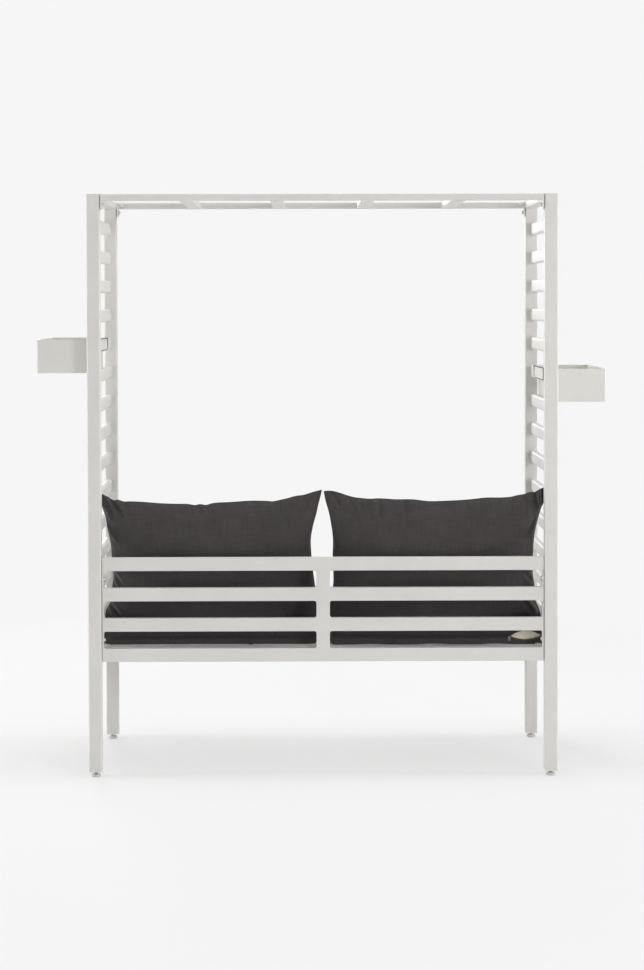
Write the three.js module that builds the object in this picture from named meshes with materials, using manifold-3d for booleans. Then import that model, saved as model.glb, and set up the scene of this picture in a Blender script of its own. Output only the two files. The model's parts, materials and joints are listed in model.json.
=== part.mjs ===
// Metal arbour seat: two ladder sides, an open roof, a railed back, a seat deck on four posts with levelling
// feet, two planters hung on the side slats and four loose cushions.
// Millimetres, +Z up, origin on the floor under the middle. The seat faces -Y. Left is +X, as seen from behind.

import * as THREE from "three";
import * as BufferGeometryUtils from "three/addons/utils/BufferGeometryUtils.js";
import Module from "manifold-3d";

const wasm = await Module();
wasm.setup();

// Whole seat
const width = 1400; // over the posts
const depth = 650; // over the posts
const height = 1737; // floor to roof top
const fitGap = 0.3; // between pieces that touch
const overrun = 3; // how far a cutter runs past what it cuts
const weldReach = 0.003; // corners closer than this are one corner

// Square tube of the posts and the seat side rails
const postSize = 40;
const postWall = 1.2;
const postCorner = 4;

// Flat tube of the rails and slats
const tubeBroad = 40;
const tubeThin = 20;
const tubeWall = 1.2;
const tubeCorner = 3;
const slatCorner = 7; // the side slats are rounder

// Levelling feet
const padDiameter = 29;
const padHeight = 8;
const padEdge = 2;
const neckDiameter = 12;
const neckHeight = 2;
const studDiameter = 8;
const studTop = 38; // above the floor
const studClearance = 0.3;
const postLift = 15; // floor to the posts' lower ends
const plugHeight = 20;

// Ladder sides
const slatCount = 14;
const slatInset = 18; // slats' inner face behind the posts' inner face
const topSlatDrop = 68; // roof top to the highest slat's upper edge

// Roof
const roofSlatCount = 4;
const roofPlateHeight = 46;
const roofBoltDrop = 33; // roof top to the bolt's centre

// Back panel and seat deck
const seatRailBottom = 344;
const backRailCount = 4;
const backRailGap = 50.5;
const openingCorner = 6;
const panelEdge = 1.5;
const plateThickness = 4;
const deckSlatCount = 7;
const deckBackGap = 10; // between the deck and the back panel
const ventDiameter = 10;

// Bolts and the rivet nuts that they screw into
const boltDiameter = 8;
const boltClearance = 0.3;
const boltReach = 15; // past the plate
const headDiameter = 14;
const headHeight = 5;
const headTopShare = 0.55; // of the head's radius
const shoulderShare = 0.88; // of the head's radius
const shoulderHeightShare = 0.62; // of the head's height
const headEdgeShare = 0.15; // of the head's height
const socketSize = 5; // across the flats
const socketSides = 6;
const socketDepth = 2.5;
const nutFlange = 1.7;
const nutFlangeDiameter = 15;
const nutDiameter = 11;
const nutLength = 12;

// Planters
const planterWidth = 158;
const planterLength = 460;
const planterHeight = 100;
const planterSheet = 2;
const planterCorner = 4;
const planterShift = 22; // each planter's place along its slat
const hookLength = 270;
const hookLeg = 36;
const leftPlanterSlat = 5;
const rightPlanterSlat = 6;

// Seat cushions
const cushionSideGap = 1; // to the posts
const cushionMiddleGap = 20;
const cushionFrontInset = 6;
const cushionBackGap = 67;
const cushionEdge = 56; // thickness at the seam
const cushionCrown = 15;
const cushionBulge = 7;
const cushionDraw = 9; // how far a side pulls in between its corners

// Back cushions
const pillowSideGap = 14; // to the side slats
const pillowMiddleGap = 7;
const pillowHeight = 400;
const pillowThickness = 150;
const pillowTopDraw = 44;
const pillowSideDraw = 30;
const pillowBottomDraw = 12;
const pillowLift = 10; // lower corners above the seat cushion's edge
const pillowLean = THREE.MathUtils.degToRad(7);
const pillowBackGap = 0.5;

// How finely round shapes and soft forms are divided
const cornerSteps = 2;
const hiddenCornerSteps = 1; // inside the tubes
const slatCornerSteps = 3;
const roundSteps = 12;
const footSteps = 20;
const pillowColumns = 16;
const pillowRows = 12;
const cushionColumns = 14;
const cushionRows = 12;
const cushionSideRows = 4;
const gridCrowding = 0.9; // draws the soft forms' grid lines together near their edges
const softWeldReach = 0.03;

// Places that follow from the sizes above
const postX = width / 2 - postSize / 2;
const postY = depth / 2 - postSize / 2;
const postInner = width / 2 - postSize;
const postLength = height - postLift;
const betweenPosts = depth - 2 * postSize - 2 * fitGap;
const slatInner = postInner + slatInset;
const slatX = slatInner + tubeThin / 2;
const topSlatBottom = height - topSlatDrop - tubeBroad;
const slatPitch = (topSlatBottom - seatRailBottom) / slatCount;
const plateOuter = postInner - nutFlange - fitGap;
const plateInner = plateOuter - plateThickness;
const backPitch = tubeBroad + backRailGap;
const panelHeight = backPitch * backRailCount - backRailGap;
const panelFront = postY - tubeThin / 2;
const seatTop = seatRailBottom + tubeBroad;
const roofBoltZ = height - roofBoltDrop;
const backGapMiddle = (gap) => seatTop + backRailGap / 2 + gap * backPitch;
const panelBoltHeights = [backGapMiddle(0), backGapMiddle(backRailCount - 2)];

const paint = new THREE.MeshStandardMaterial({ color: 0xdcdad5, roughness: 0.45, metalness: 0.15 });
const zinc = new THREE.MeshStandardMaterial({ color: 0xa8a8a6, roughness: 0.4, metalness: 0.9 });
const glide = new THREE.MeshStandardMaterial({ color: 0xd2d0cb, roughness: 0.6, metalness: 0 });
const charcoal = new THREE.MeshStandardMaterial({ color: 0x454243, roughness: 0.95, metalness: 0 });

// Solids, joins and cuts

function solid(geometry) {
  const bare = geometry.clone();
  bare.deleteAttribute("normal");
  bare.deleteAttribute("uv");
  const merged = BufferGeometryUtils.mergeVertices(bare, weldReach);
  return new wasm.Manifold(
    new wasm.Mesh({
      numProp: 3,
      vertProperties: new Float32Array(merged.attributes.position.array),
      triVerts: new Uint32Array(merged.index.array),
    }),
  );
}

function geometryOf(manifold) {
  const mesh = manifold.getMesh();
  const indexed = new THREE.BufferGeometry();
  indexed.setAttribute("position", new THREE.BufferAttribute(mesh.vertProperties, 3));
  indexed.setIndex(new THREE.BufferAttribute(mesh.triVerts, 1));
  const flat = indexed.toNonIndexed();
  flat.computeVertexNormals();
  return flat;
}

const joined = (parts) => parts.map(solid).reduce((whole, part) => whole.add(part));
const cut = (whole, cutters) => cutters.map(solid).reduce((rest, cutter) => rest.subtract(cutter), whole);

// Sections and prisms

function roundedRectangle(wide, high, corner, steps = cornerSteps, middleX = 0, middleY = 0) {
  const quarters = [
    [1, 1],
    [-1, 1],
    [-1, -1],
    [1, -1],
  ];
  const points = quarters.flatMap(([signX, signY], quarter) =>
    Array.from({ length: steps + 1 }, (_, step) => {
      const angle = (Math.PI / 2) * (quarter + step / steps);
      const x = middleX + signX * (wide / 2 - corner) + corner * Math.cos(angle);
      const y = middleY + signY * (high / 2 - corner) + corner * Math.sin(angle);
      return new THREE.Vector2(x, y);
    }),
  );
  return new THREE.Shape(points);
}

const insideTube = (wide, high, corner, wall) =>
  roundedRectangle(wide - 2 * wall, high - 2 * wall, corner - wall, hiddenCornerSteps);

function tubeSection(wide, high, corner, wall, steps) {
  const section = roundedRectangle(wide, high, corner, steps);
  section.holes.push(insideTube(wide, high, corner, wall));
  return section;
}

// A section drawn on x and y, run along z from 0
function prism(section, length) {
  return new THREE.ExtrudeGeometry(section, { depth: length, bevelEnabled: false });
}

// The same, centred and laid along a world axis: the section's x and y become the two axes named after it
const layAlongX = new THREE.Matrix4().makeBasis(
  new THREE.Vector3(0, 1, 0),
  new THREE.Vector3(0, 0, 1),
  new THREE.Vector3(1, 0, 0),
);
const layAlongY = new THREE.Matrix4().makeBasis(
  new THREE.Vector3(1, 0, 0),
  new THREE.Vector3(0, 0, 1),
  new THREE.Vector3(0, -1, 0),
);
const alongX = (section, length) => prism(section, length).translate(0, 0, -length / 2).applyMatrix4(layAlongX);
const alongY = (section, length) => prism(section, length).translate(0, 0, -length / 2).applyMatrix4(layAlongY);

// A round bar along x, from one x to another
function barAlongX(diameter, from, to, y, z) {
  const bar = new THREE.CylinderGeometry(diameter / 2, diameter / 2, Math.abs(to - from), roundSteps);
  return bar.rotateZ(Math.PI / 2).translate((from + to) / 2, y, z);
}

function box(low, high) {
  const size = high.map((value, axis) => value - low[axis]);
  const middle = high.map((value, axis) => (value + low[axis]) / 2);
  return new THREE.BoxGeometry(...size).translate(...middle);
}

// A profile of [radius, height] points turned about z
function turned(profile, steps) {
  return new THREE.LatheGeometry(profile.map(([r, z]) => new THREE.Vector2(r, z)), steps).rotateX(Math.PI / 2);
}

const seat = new THREE.Group();

function place(name, geometry, material, x = 0, y = 0, z = 0) {
  const mesh = new THREE.Mesh(geometry, material);
  mesh.name = name;
  mesh.position.set(x, y, z);
  seat.add(mesh);
  return mesh;
}

const sides = [
  { side: "left", sign: 1 },
  { side: "right", sign: -1 },
];
const ends = [
  { end: "rear", sign: 1 },
  { end: "front", sign: -1 },
];

// Posts: square tube, closed at the top, with a plug below that takes the foot's stud.
// Rivet nuts stand in the inner face where the roof and the back panel are bolted on.
function postGeometry(inward, boltHeights) {
  const face = (inward * postSize) / 2;
  const tube = prism(roundedRectangle(postSize, postSize, postCorner), postLength);
  const cavityLength = postLength - plugHeight - postWall;
  const cavity = prism(insideTube(postSize, postSize, postCorner, postWall), cavityLength);
  const holeDiameter = boltDiameter + 2 * boltClearance;
  const studHoleDiameter = studDiameter + 2 * studClearance;
  const studHole = new THREE.CylinderGeometry(
    studHoleDiameter / 2,
    studHoleDiameter / 2,
    plugHeight + 2 * overrun,
    roundSteps,
  );
  const nuts = boltHeights.flatMap((z) => [
    barAlongX(nutFlangeDiameter, face - (inward * postWall) / 2, face + inward * nutFlange, 0, z),
    barAlongX(nutDiameter, face - inward * nutLength, face, 0, z),
  ]);
  const holes = boltHeights.map((z) =>
    barAlongX(holeDiameter, face - inward * (nutLength + overrun), face + inward * (nutFlange + overrun), 0, z),
  );
  const hollowTube = cut(solid(tube), [cavity.translate(0, 0, plugHeight)]);
  const withNuts = nuts.map(solid).reduce((whole, nut) => whole.add(nut), hollowTube);
  return geometryOf(cut(withNuts, [...holes, studHole.rotateX(Math.PI / 2).translate(0, 0, plugHeight / 2)]));
}

for (const { side, sign: sideSign } of sides) {
  for (const { end, sign: endSign } of ends) {
    const bolts = end === "rear" ? [...panelBoltHeights, roofBoltZ] : [roofBoltZ];
    const geometry = postGeometry(-sideSign, bolts.map((z) => z - postLift));
    place(`post_${end}_${side}`, geometry, paint, sideSign * postX, endSign * postY, postLift);
  }
}

// Levelling feet: a pad and its stud in one piece
const footProfile = [
  [0, 0],
  [padDiameter / 2 - padEdge, 0],
  [padDiameter / 2, padEdge],
  [padDiameter / 2, padHeight - padEdge],
  [padDiameter / 2 - padEdge, padHeight],
  [neckDiameter / 2, padHeight],
  [neckDiameter / 2, padHeight + neckHeight],
  [studDiameter / 2, padHeight + neckHeight],
  [studDiameter / 2, studTop],
  [0, studTop],
];
const footGeometry = turned(footProfile, footSteps);
for (const { side, sign: sideSign } of sides) {
  for (const { end, sign: endSign } of ends) {
    place(`foot_${end}_${side}`, footGeometry, glide, sideSign * postX, endSign * postY);
  }
}

// Side slats, evenly pitched from the roof down to the seat side rail
const slatSection = tubeSection(tubeThin, tubeBroad, slatCorner, tubeWall, slatCornerSteps);
const slatGeometry = alongY(slatSection, betweenPosts);
const slatBottom = (number) => topSlatBottom - (number - 1) * slatPitch;
for (const { side, sign } of sides) {
  for (let number = 1; number <= slatCount; number += 1) {
    const name = `side_slat_${side}_${String(number).padStart(2, "0")}`;
    place(name, slatGeometry, paint, sign * slatX, 0, slatBottom(number) + tubeBroad / 2);
  }
}

// Side rails at the seat and at the roof
const seatRailGeometry = alongY(tubeSection(postSize, tubeBroad, postCorner, postWall), betweenPosts);
const roofSideGeometry = alongY(tubeSection(postSize, tubeThin, tubeCorner, tubeWall), betweenPosts);
for (const { side, sign } of sides) {
  place(`seat_side_rail_${side}`, seatRailGeometry, paint, sign * postX, 0, seatRailBottom + tubeBroad / 2);
  place(`roof_side_rail_${side}`, roofSideGeometry, paint, sign * postX, 0, height - tubeThin / 2);
}

// Button-head bolts with a hexagon socket. A bolt's own z runs out of its head, and 0 is under the head.
function boltSolid() {
  const shank = boltDiameter / 2;
  const dome = headDiameter / 2;
  const length = plateThickness + boltReach;
  const profile = [
    [0, headHeight],
    [dome * headTopShare, headHeight],
    [dome * shoulderShare, headHeight * shoulderHeightShare],
    [dome, headHeight * headEdgeShare],
    [dome, 0],
    [shank, 0],
    [shank, -length],
    [0, -length],
  ];
  const socketRadius = socketSize / Math.sqrt(3);
  const socket = new THREE.CylinderGeometry(socketRadius, socketRadius, 2 * socketDepth, socketSides);
  const bolt = turned(profile.reverse(), roundSteps);
  return cut(solid(bolt), [socket.rotateX(Math.PI / 2).translate(0, 0, headHeight)]);
}
const bolt = boltSolid();

// The same bolt with its head towards the middle of the seat
const boltTowards = (sideSign) => geometryOf(bolt).rotateY((-sideSign * Math.PI) / 2);

// Roof rails: flat tube with a plate welded on each end, bolted below the tube.
// A vent in each plate opens the tube's inside, hidden against the post.
function roofRailGeometry() {
  const railSection = roundedRectangle(postSize, tubeThin, tubeCorner);
  const inside = insideTube(postSize, tubeThin, tubeCorner, tubeWall);
  const railZ = height - tubeThin / 2;
  const rail = alongX(railSection, 2 * plateInner + plateThickness).translate(0, 0, railZ);
  const cavity = alongX(inside, 2 * plateInner).translate(0, 0, railZ);
  const half = postSize / 2;
  const plates = sides.map(({ sign }) => {
    const edges = [sign * plateInner, sign * plateOuter].sort((a, b) => a - b);
    return box([edges[0], -half, height - roofPlateHeight], [edges[1], half, height]);
  });
  const holeDiameter = boltDiameter + 2 * boltClearance;
  const reach = plateOuter + overrun;
  const vent = barAlongX(ventDiameter, -reach, reach, 0, railZ);
  const boltHole = barAlongX(holeDiameter, -reach, reach, 0, roofBoltZ);
  return geometryOf(cut(joined([rail, ...plates]), [cavity, vent, boltHole]));
}
const roofRail = roofRailGeometry();
for (const { end, sign } of ends) place(`roof_rail_${end}`, roofRail, paint, 0, sign * postY);

for (const { side, sign: sideSign } of sides) {
  for (const { end, sign: endSign } of ends) {
    const x = sideSign * (plateInner - fitGap);
    place(`roof_bolt_${end}_${side}`, boltTowards(sideSign), zinc, x, endSign * postY, roofBoltZ);
  }
}

// Roof slats, with equal clear gaps between the posts
const roofSlatGap = (2 * postInner - roofSlatCount * tubeBroad) / (roofSlatCount + 1);
const roofSlatGeometry = alongY(tubeSection(tubeBroad, tubeThin, tubeCorner, tubeWall), betweenPosts);
for (let number = 1; number <= roofSlatCount; number += 1) {
  const x = postInner - number * (roofSlatGap + tubeBroad) + tubeBroad / 2;
  place(`roof_slat_${number}`, roofSlatGeometry, paint, x, 0, height - tubeThin / 2);
}

// Back panel: rails and a middle upright, welded between two end plates. The four bolts that hold the plates
// to the rear posts are one piece with it.
function backPanelGeometry() {
  const railSpan = 2 * plateInner;
  const bayWidth = (railSpan - tubeBroad) / 2;
  const outline = new THREE.Shape();
  outline.moveTo(-plateOuter, -panelHeight / 2);
  outline.lineTo(plateOuter, -panelHeight / 2);
  outline.lineTo(plateOuter, panelHeight / 2);
  outline.lineTo(-plateOuter, panelHeight / 2);
  for (let gap = 0; gap < backRailCount - 1; gap += 1) {
    for (const { sign } of sides) {
      const x = (sign * (bayWidth + tubeBroad)) / 2;
      const y = backGapMiddle(gap) - seatRailBottom - panelHeight / 2;
      outline.holes.push(roundedRectangle(bayWidth, backRailGap, openingCorner, slatCornerSteps, x, y));
    }
  }
  const frame = new THREE.ExtrudeGeometry(outline, {
    depth: tubeThin - 2 * panelEdge,
    bevelSize: panelEdge,
    bevelOffset: -panelEdge,
    bevelThickness: panelEdge,
    bevelSegments: 1,
  });
  frame.translate(0, 0, panelEdge - tubeThin / 2).rotateX(Math.PI / 2);
  const half = tubeThin / 2;
  const top = panelHeight / 2;
  const plates = sides.map(({ sign }) => {
    const edges = [sign * plateInner, sign * plateOuter].sort((a, b) => a - b);
    return box([edges[0], -half, -top], [edges[1], half, top]);
  });
  const inside = insideTube(tubeThin, tubeBroad, tubeCorner, tubeWall);
  const reach = plateOuter + overrun;
  const cutters = [];
  for (let rail = 0; rail < backRailCount; rail += 1) {
    const z = tubeBroad / 2 + rail * backPitch - top;
    cutters.push(alongX(inside, railSpan).translate(0, 0, z));
    cutters.push(barAlongX(ventDiameter, -reach, reach, 0, z));
  }
  const uprightInside = insideTube(tubeBroad, tubeThin, tubeCorner, tubeWall);
  const uprightLength = panelHeight - 2 * tubeWall;
  cutters.push(prism(uprightInside, uprightLength).translate(0, 0, -uprightLength / 2));
  const bolts = panelBoltHeights.flatMap((height) =>
    sides.map(({ sign }) => boltTowards(sign).translate(sign * plateInner, 0, height - seatRailBottom - top)),
  );
  return geometryOf(cut(joined([frame, ...plates]), cutters).add(joined(bolts)));
}

place("back_panel", backPanelGeometry(), paint, 0, postY, seatRailBottom + panelHeight / 2);

// Seat deck: a front and two side members on edge, flat slats from side to side and a joist under their middle
function seatDeckGeometry() {
  const deckHalf = postInner - fitGap;
  const front = -postY - tubeThin / 2;
  const rear = panelFront - deckBackGap;
  const length = rear - front;
  const middle = (rear + front) / 2;
  const onEdge = roundedRectangle(tubeThin, tubeBroad, tubeCorner, hiddenCornerSteps);
  const onEdgeInside = insideTube(tubeThin, tubeBroad, tubeCorner, tubeWall);
  const flat = roundedRectangle(tubeBroad, tubeThin, tubeCorner, hiddenCornerSteps);
  const flatInside = insideTube(tubeBroad, tubeThin, tubeCorner, tubeWall);
  const sideX = deckHalf - tubeThin / 2;
  const frontY = (tubeThin - length) / 2;
  const slatZ = (tubeBroad - tubeThin) / 2;
  const joistZ = tubeWall - slatZ;
  const members = [
    alongX(onEdge, 2 * deckHalf).translate(0, frontY, 0),
    alongY(flat, length - tubeThin).translate(0, 0, joistZ),
  ];
  const cavities = [
    alongX(onEdgeInside, 2 * (deckHalf - tubeWall)).translate(0, frontY, 0),
    alongY(flatInside, length - tubeThin - 2 * tubeWall).translate(0, 0, joistZ),
  ];
  for (const { sign } of sides) {
    members.push(alongY(onEdge, length - 2 * tubeCorner).translate(sign * sideX, 0, 0));
    cavities.push(alongY(onEdgeInside, length - tubeThin).translate(sign * sideX, 0, 0));
  }
  const slatGap = (length - tubeThin) / deckSlatCount - tubeBroad;
  for (let number = 0; number < deckSlatCount; number += 1) {
    const y = (length - tubeBroad) / 2 - number * (slatGap + tubeBroad);
    const reach = number === 0 ? deckHalf : sideX;
    members.push(alongX(flat, 2 * reach).translate(0, y, slatZ));
    cavities.push(alongX(flatInside, 2 * (reach - tubeWall)).translate(0, y, slatZ));
  }
  const vents = sides.map(({ sign }) => {
    const vent = new THREE.CylinderGeometry(ventDiameter / 2, ventDiameter / 2, tubeBroad, roundSteps);
    return vent.rotateX(Math.PI / 2).translate(sign * sideX, 0, -tubeBroad / 2);
  });
  const whole = cut(joined(members), [...cavities, ...vents]);
  return geometryOf(whole.translate([0, middle, seatRailBottom + tubeBroad / 2]));
}
place("seat_deck", seatDeckGeometry(), paint);

// Planters: open sheet boxes with a long hook that grips over one side slat
function planterGeometry(outward) {
  const inner = slatX + tubeThin / 2 + fitGap;
  const hookInner = slatInner - fitGap - planterSheet;
  const middle = outward * (inner + planterWidth / 2);
  const outline = roundedRectangle(planterWidth, planterLength, planterCorner);
  const inside = roundedRectangle(
    planterWidth - 2 * planterSheet,
    planterLength - 2 * planterSheet,
    planterCorner - planterSheet,
  );
  const shell = prism(outline, planterHeight).translate(middle, 0, -planterHeight);
  const hollow = prism(inside, planterHeight).translate(middle, 0, planterSheet - planterHeight);
  const half = hookLength / 2;
  const across = [outward * hookInner, outward * (inner + planterSheet)].sort((a, b) => a - b);
  const down = [outward * hookInner, outward * (hookInner + planterSheet)].sort((a, b) => a - b);
  const bridge = box([across[0], -half, -planterSheet], [across[1], half, 0]);
  const leg = box([down[0], -half, -hookLeg], [down[1], half, 0]);
  return geometryOf(cut(solid(shell), [hollow]).add(joined([bridge, leg])));
}
const planterRim = (slat) => slatBottom(slat) + tubeBroad + fitGap + planterSheet;
place("planter_left", planterGeometry(1), paint, 0, planterShift, planterRim(leftPlanterSlat));
place("planter_right", planterGeometry(-1), paint, 0, -planterShift, planterRim(rightPlanterSlat));

// Soft forms: a top and a bottom sheet over one grid of u and v from -1 to 1, joined by rows down the sides.
// point(u, v, w) gives a place, with w from 1 on the top sheet to -1 on the bottom one.
function softSolid(point, columns, rows, sideRows) {
  const bend = Math.PI * gridCrowding;
  const share = (index, count) => Math.sin(bend * (index / count - 1 / 2)) / Math.sin(bend / 2);
  const corners = [];
  const at = (i, j, w) => corners.push(point(share(i, columns), share(j, rows), w));
  const quad = (a, b, c, d) => [a, b, c, a, c, d].forEach(([i, j, w]) => at(i, j, w));
  for (let i = 0; i < columns; i += 1) {
    for (let j = 0; j < rows; j += 1) {
      quad([i, j, 1], [i + 1, j, 1], [i + 1, j + 1, 1], [i, j + 1, 1]);
      quad([i, j, -1], [i, j + 1, -1], [i + 1, j + 1, -1], [i + 1, j, -1]);
    }
  }
  const border = [];
  for (let i = 0; i < columns; i += 1) border.push([i, 0]);
  for (let j = 0; j < rows; j += 1) border.push([columns, j]);
  for (let i = columns; i > 0; i -= 1) border.push([i, rows]);
  for (let j = rows; j > 0; j -= 1) border.push([0, j]);
  for (let step = 0; step < sideRows; step += 1) {
    const upper = 1 - (2 * step) / sideRows;
    const lower = 1 - (2 * (step + 1)) / sideRows;
    border.forEach(([i, j], index) => {
      const [nextI, nextJ] = border[(index + 1) % border.length];
      quad([i, j, lower], [nextI, nextJ, lower], [nextI, nextJ, upper], [i, j, upper]);
    });
  }
  const loose = new THREE.BufferGeometry().setFromPoints(corners);
  const soft = BufferGeometryUtils.mergeVertices(loose, softWeldReach);
  soft.computeVertexNormals();
  return soft;
}

const fullness = (u, v) => Math.sqrt(Math.max(0, 1 - u * u) * Math.max(0, 1 - v * v));

// Seat cushion: flat below, crowned above, its sides pulled in between the corners and bulged at mid height
const cushionOuter = postInner - cushionSideGap;
const cushionWidth = cushionOuter - cushionMiddleGap / 2;
const cushionFront = cushionFrontInset - depth / 2;
const cushionDepth = panelFront - cushionBackGap - cushionFront;
const cushionX = cushionOuter - cushionWidth / 2;
const cushionY = cushionFront + cushionDepth / 2;
const cushionBottom = seatTop + fitGap;
function cushionPoint(u, v, w) {
  const bulge = cushionBulge * (1 - w * w);
  const x = cushionWidth / 2 - cushionBulge - cushionDraw * (1 - v * v) + bulge;
  const y = cushionDepth / 2 - cushionBulge - cushionDraw * (1 - u * u) + bulge;
  const crown = w === 1 ? cushionCrown * fullness(u, v) : 0;
  return new THREE.Vector3(x * u, y * v, (cushionEdge * (1 + w)) / 2 + crown);
}
const cushionGeometry = softSolid(cushionPoint, cushionColumns, cushionRows, cushionSideRows);

// Back cushion: a knife-edged pillow with flared corners, standing on the seat cushion and leaning back.
// Its own x is across, y up and z out of its front.
const pillowOuter = slatInner - pillowSideGap;
const pillowWidth = pillowOuter - pillowMiddleGap / 2;
const pillowX = pillowOuter - pillowWidth / 2;
function pillowPoint(u, v, w) {
  const verticalDraw = v > 0 ? pillowTopDraw : pillowBottomDraw;
  const x = u * (pillowWidth / 2 - pillowSideDraw * (1 - v * v));
  const y = v * (pillowHeight / 2 - verticalDraw * (1 - u * u));
  return new THREE.Vector3(x, y, (w * pillowThickness * fullness(u, v)) / 2);
}
const pillowGeometry = softSolid(pillowPoint, pillowColumns, pillowRows, 0);
const pillowBottom = cushionBottom + cushionEdge + pillowLift;
const pillowZ = pillowBottom + (pillowHeight / 2) * Math.cos(pillowLean);
const panelTop = seatRailBottom + panelHeight;
const pillowAbovePanel = pillowZ - panelTop;
const pillowY =
  panelFront -
  pillowBackGap -
  pillowThickness / 2 / Math.cos(pillowLean) +
  Math.max(0, pillowAbovePanel) * Math.tan(pillowLean);

for (const { side, sign } of sides) {
  place(`seat_cushion_${side}`, cushionGeometry, charcoal, sign * cushionX, cushionY, cushionBottom);
  const pillow = place(`back_cushion_${side}`, pillowGeometry, charcoal, sign * pillowX, pillowY, pillowZ);
  pillow.rotation.x = Math.PI / 2 - pillowLean;
}

export default seat;
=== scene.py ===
import json
import math

import bpy
import numpy as np
from bpy.props import FloatProperty, FloatVectorProperty, IntProperty, PointerProperty
from mathutils import Matrix, Vector


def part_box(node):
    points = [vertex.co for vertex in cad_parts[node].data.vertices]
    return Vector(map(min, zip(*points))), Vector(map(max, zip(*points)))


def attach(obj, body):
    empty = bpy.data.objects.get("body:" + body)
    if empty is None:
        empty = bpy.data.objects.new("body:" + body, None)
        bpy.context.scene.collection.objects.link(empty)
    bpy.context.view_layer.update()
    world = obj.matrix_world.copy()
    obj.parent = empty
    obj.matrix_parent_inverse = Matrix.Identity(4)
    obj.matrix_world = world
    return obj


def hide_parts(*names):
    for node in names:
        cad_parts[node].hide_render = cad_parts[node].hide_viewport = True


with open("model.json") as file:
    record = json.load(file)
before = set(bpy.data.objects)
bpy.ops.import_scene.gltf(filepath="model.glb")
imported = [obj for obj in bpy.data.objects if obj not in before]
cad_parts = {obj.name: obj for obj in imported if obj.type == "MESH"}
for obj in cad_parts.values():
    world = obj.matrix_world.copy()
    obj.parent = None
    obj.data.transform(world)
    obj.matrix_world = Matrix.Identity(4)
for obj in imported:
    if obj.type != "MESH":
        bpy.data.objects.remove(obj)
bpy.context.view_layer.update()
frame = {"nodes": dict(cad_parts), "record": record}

bl_info = {
    "name": "Arbour Seat Finish",
    "version": (1, 0, 0),
    "blender": (4, 5, 0),
    "location": "3D View > Sidebar > Arbour Seat",
    "description": "Paint, fasteners, welds and sewn cushions for a garden arbour seat",
    "category": "Object",
}

SIDES = {"left": 1.0, "right": -1.0}
ENDS = {"rear": 1.0, "front": -1.0}

# Places that follow from the frame
POST_LOW, POST_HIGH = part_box("post_rear_left")
PANEL_LOW, PANEL_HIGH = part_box("back_panel")
SEAT_LOW, SEAT_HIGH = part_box("seat_cushion_left")
BACK_LOW, BACK_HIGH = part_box("back_cushion_left")
POST_SIZE = 0.04
POST_Y = (POST_LOW.y + POST_HIGH.y) / 2
PLATE_THICKNESS = 0.004
NUT_FLANGE = 0.0017
FIT_GAP = 0.0003
POST_INNER = POST_HIGH.x - POST_SIZE
PLATE_FACE = POST_INNER - NUT_FLANGE - FIT_GAP - PLATE_THICKNESS
RAIL_HEIGHT = 0.04
BACK_RAIL_COUNT = 4
BACK_RAIL_GAP = (PANEL_HIGH.z - PANEL_LOW.z - BACK_RAIL_COUNT * RAIL_HEIGHT) / (BACK_RAIL_COUNT - 1)
PANEL_BOLT_HEIGHTS = [
    PANEL_LOW.z + RAIL_HEIGHT + BACK_RAIL_GAP / 2,
    PANEL_HIGH.z - RAIL_HEIGHT - BACK_RAIL_GAP / 2,
]
MERGE_REACH = 0.00001  # places closer than this count as one


# Sizes and colours that a user would change

class PaintFinish(bpy.types.PropertyGroup):
    colour: FloatVectorProperty(
        name="Colour", description="Powder coat, at its middle tone", default=(0.735, 0.722, 0.69),
        size=3, subtype="COLOR", min=0.0, max=1.0)
    mottle: FloatProperty(
        name="Mottle", description="How far the tone wanders over a tube", default=0.03, min=0.0, max=0.2)
    mottle_size: FloatProperty(
        name="Mottle size", description="Size of one patch of tone", default=0.16, unit="LENGTH", min=0.01)
    peel_size: FloatProperty(
        name="Orange peel size", description="Width of one dimple of the coat", default=0.0022,
        unit="LENGTH", min=0.0005)
    peel_depth: FloatProperty(
        name="Orange peel depth", description="Depth of a dimple", default=0.00005, unit="LENGTH", min=0.0)
    smooth_angle: FloatProperty(
        name="Edge angle", description="Edges turning more than this stay sharp", default=math.radians(52),
        subtype="ANGLE")


class ClothFinish(bpy.types.PropertyGroup):
    dark: FloatVectorProperty(
        name="Dark yarn", description="Colour of the darker yarns", default=(0.044, 0.039, 0.0395),
        size=3, subtype="COLOR", min=0.0, max=1.0)
    light: FloatVectorProperty(
        name="Light yarn", description="Colour of the lighter yarns", default=(0.082, 0.073, 0.074),
        size=3, subtype="COLOR", min=0.0, max=1.0)
    yarn: FloatProperty(
        name="Yarn pitch", description="Distance from yarn to yarn", default=0.0011,
        unit="LENGTH", min=0.0003)
    slub: FloatProperty(
        name="Slub length", description="Length of a thick stretch of yarn", default=0.03,
        unit="LENGTH", min=0.002)
    relief: FloatProperty(
        name="Weave relief", description="Height of a yarn over its crossing", default=0.00022,
        unit="LENGTH", min=0.0)


class SeatCushionShape(bpy.types.PropertyGroup):
    seam_height: FloatProperty(
        name="Edge height", description="Height of the boxed edge", default=0.055, unit="LENGTH")
    seam: FloatProperty(name="Seam", description="Radius of the seam roll", default=0.0020, unit="LENGTH")
    crown: FloatProperty(name="Crown", description="Rise of the middle", default=0.0148, unit="LENGTH")
    draw: FloatProperty(
        name="Draw", description="How far a side pulls in between its corners", default=0.009, unit="LENGTH")
    columns: IntProperty(name="Columns", description="Grid cells across", default=72, min=8)
    rows: IntProperty(name="Rows", description="Grid cells from front to back", default=60, min=8)
    side_rows: IntProperty(name="Side rows", description="Grid cells up the edge", default=8, min=3)


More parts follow.
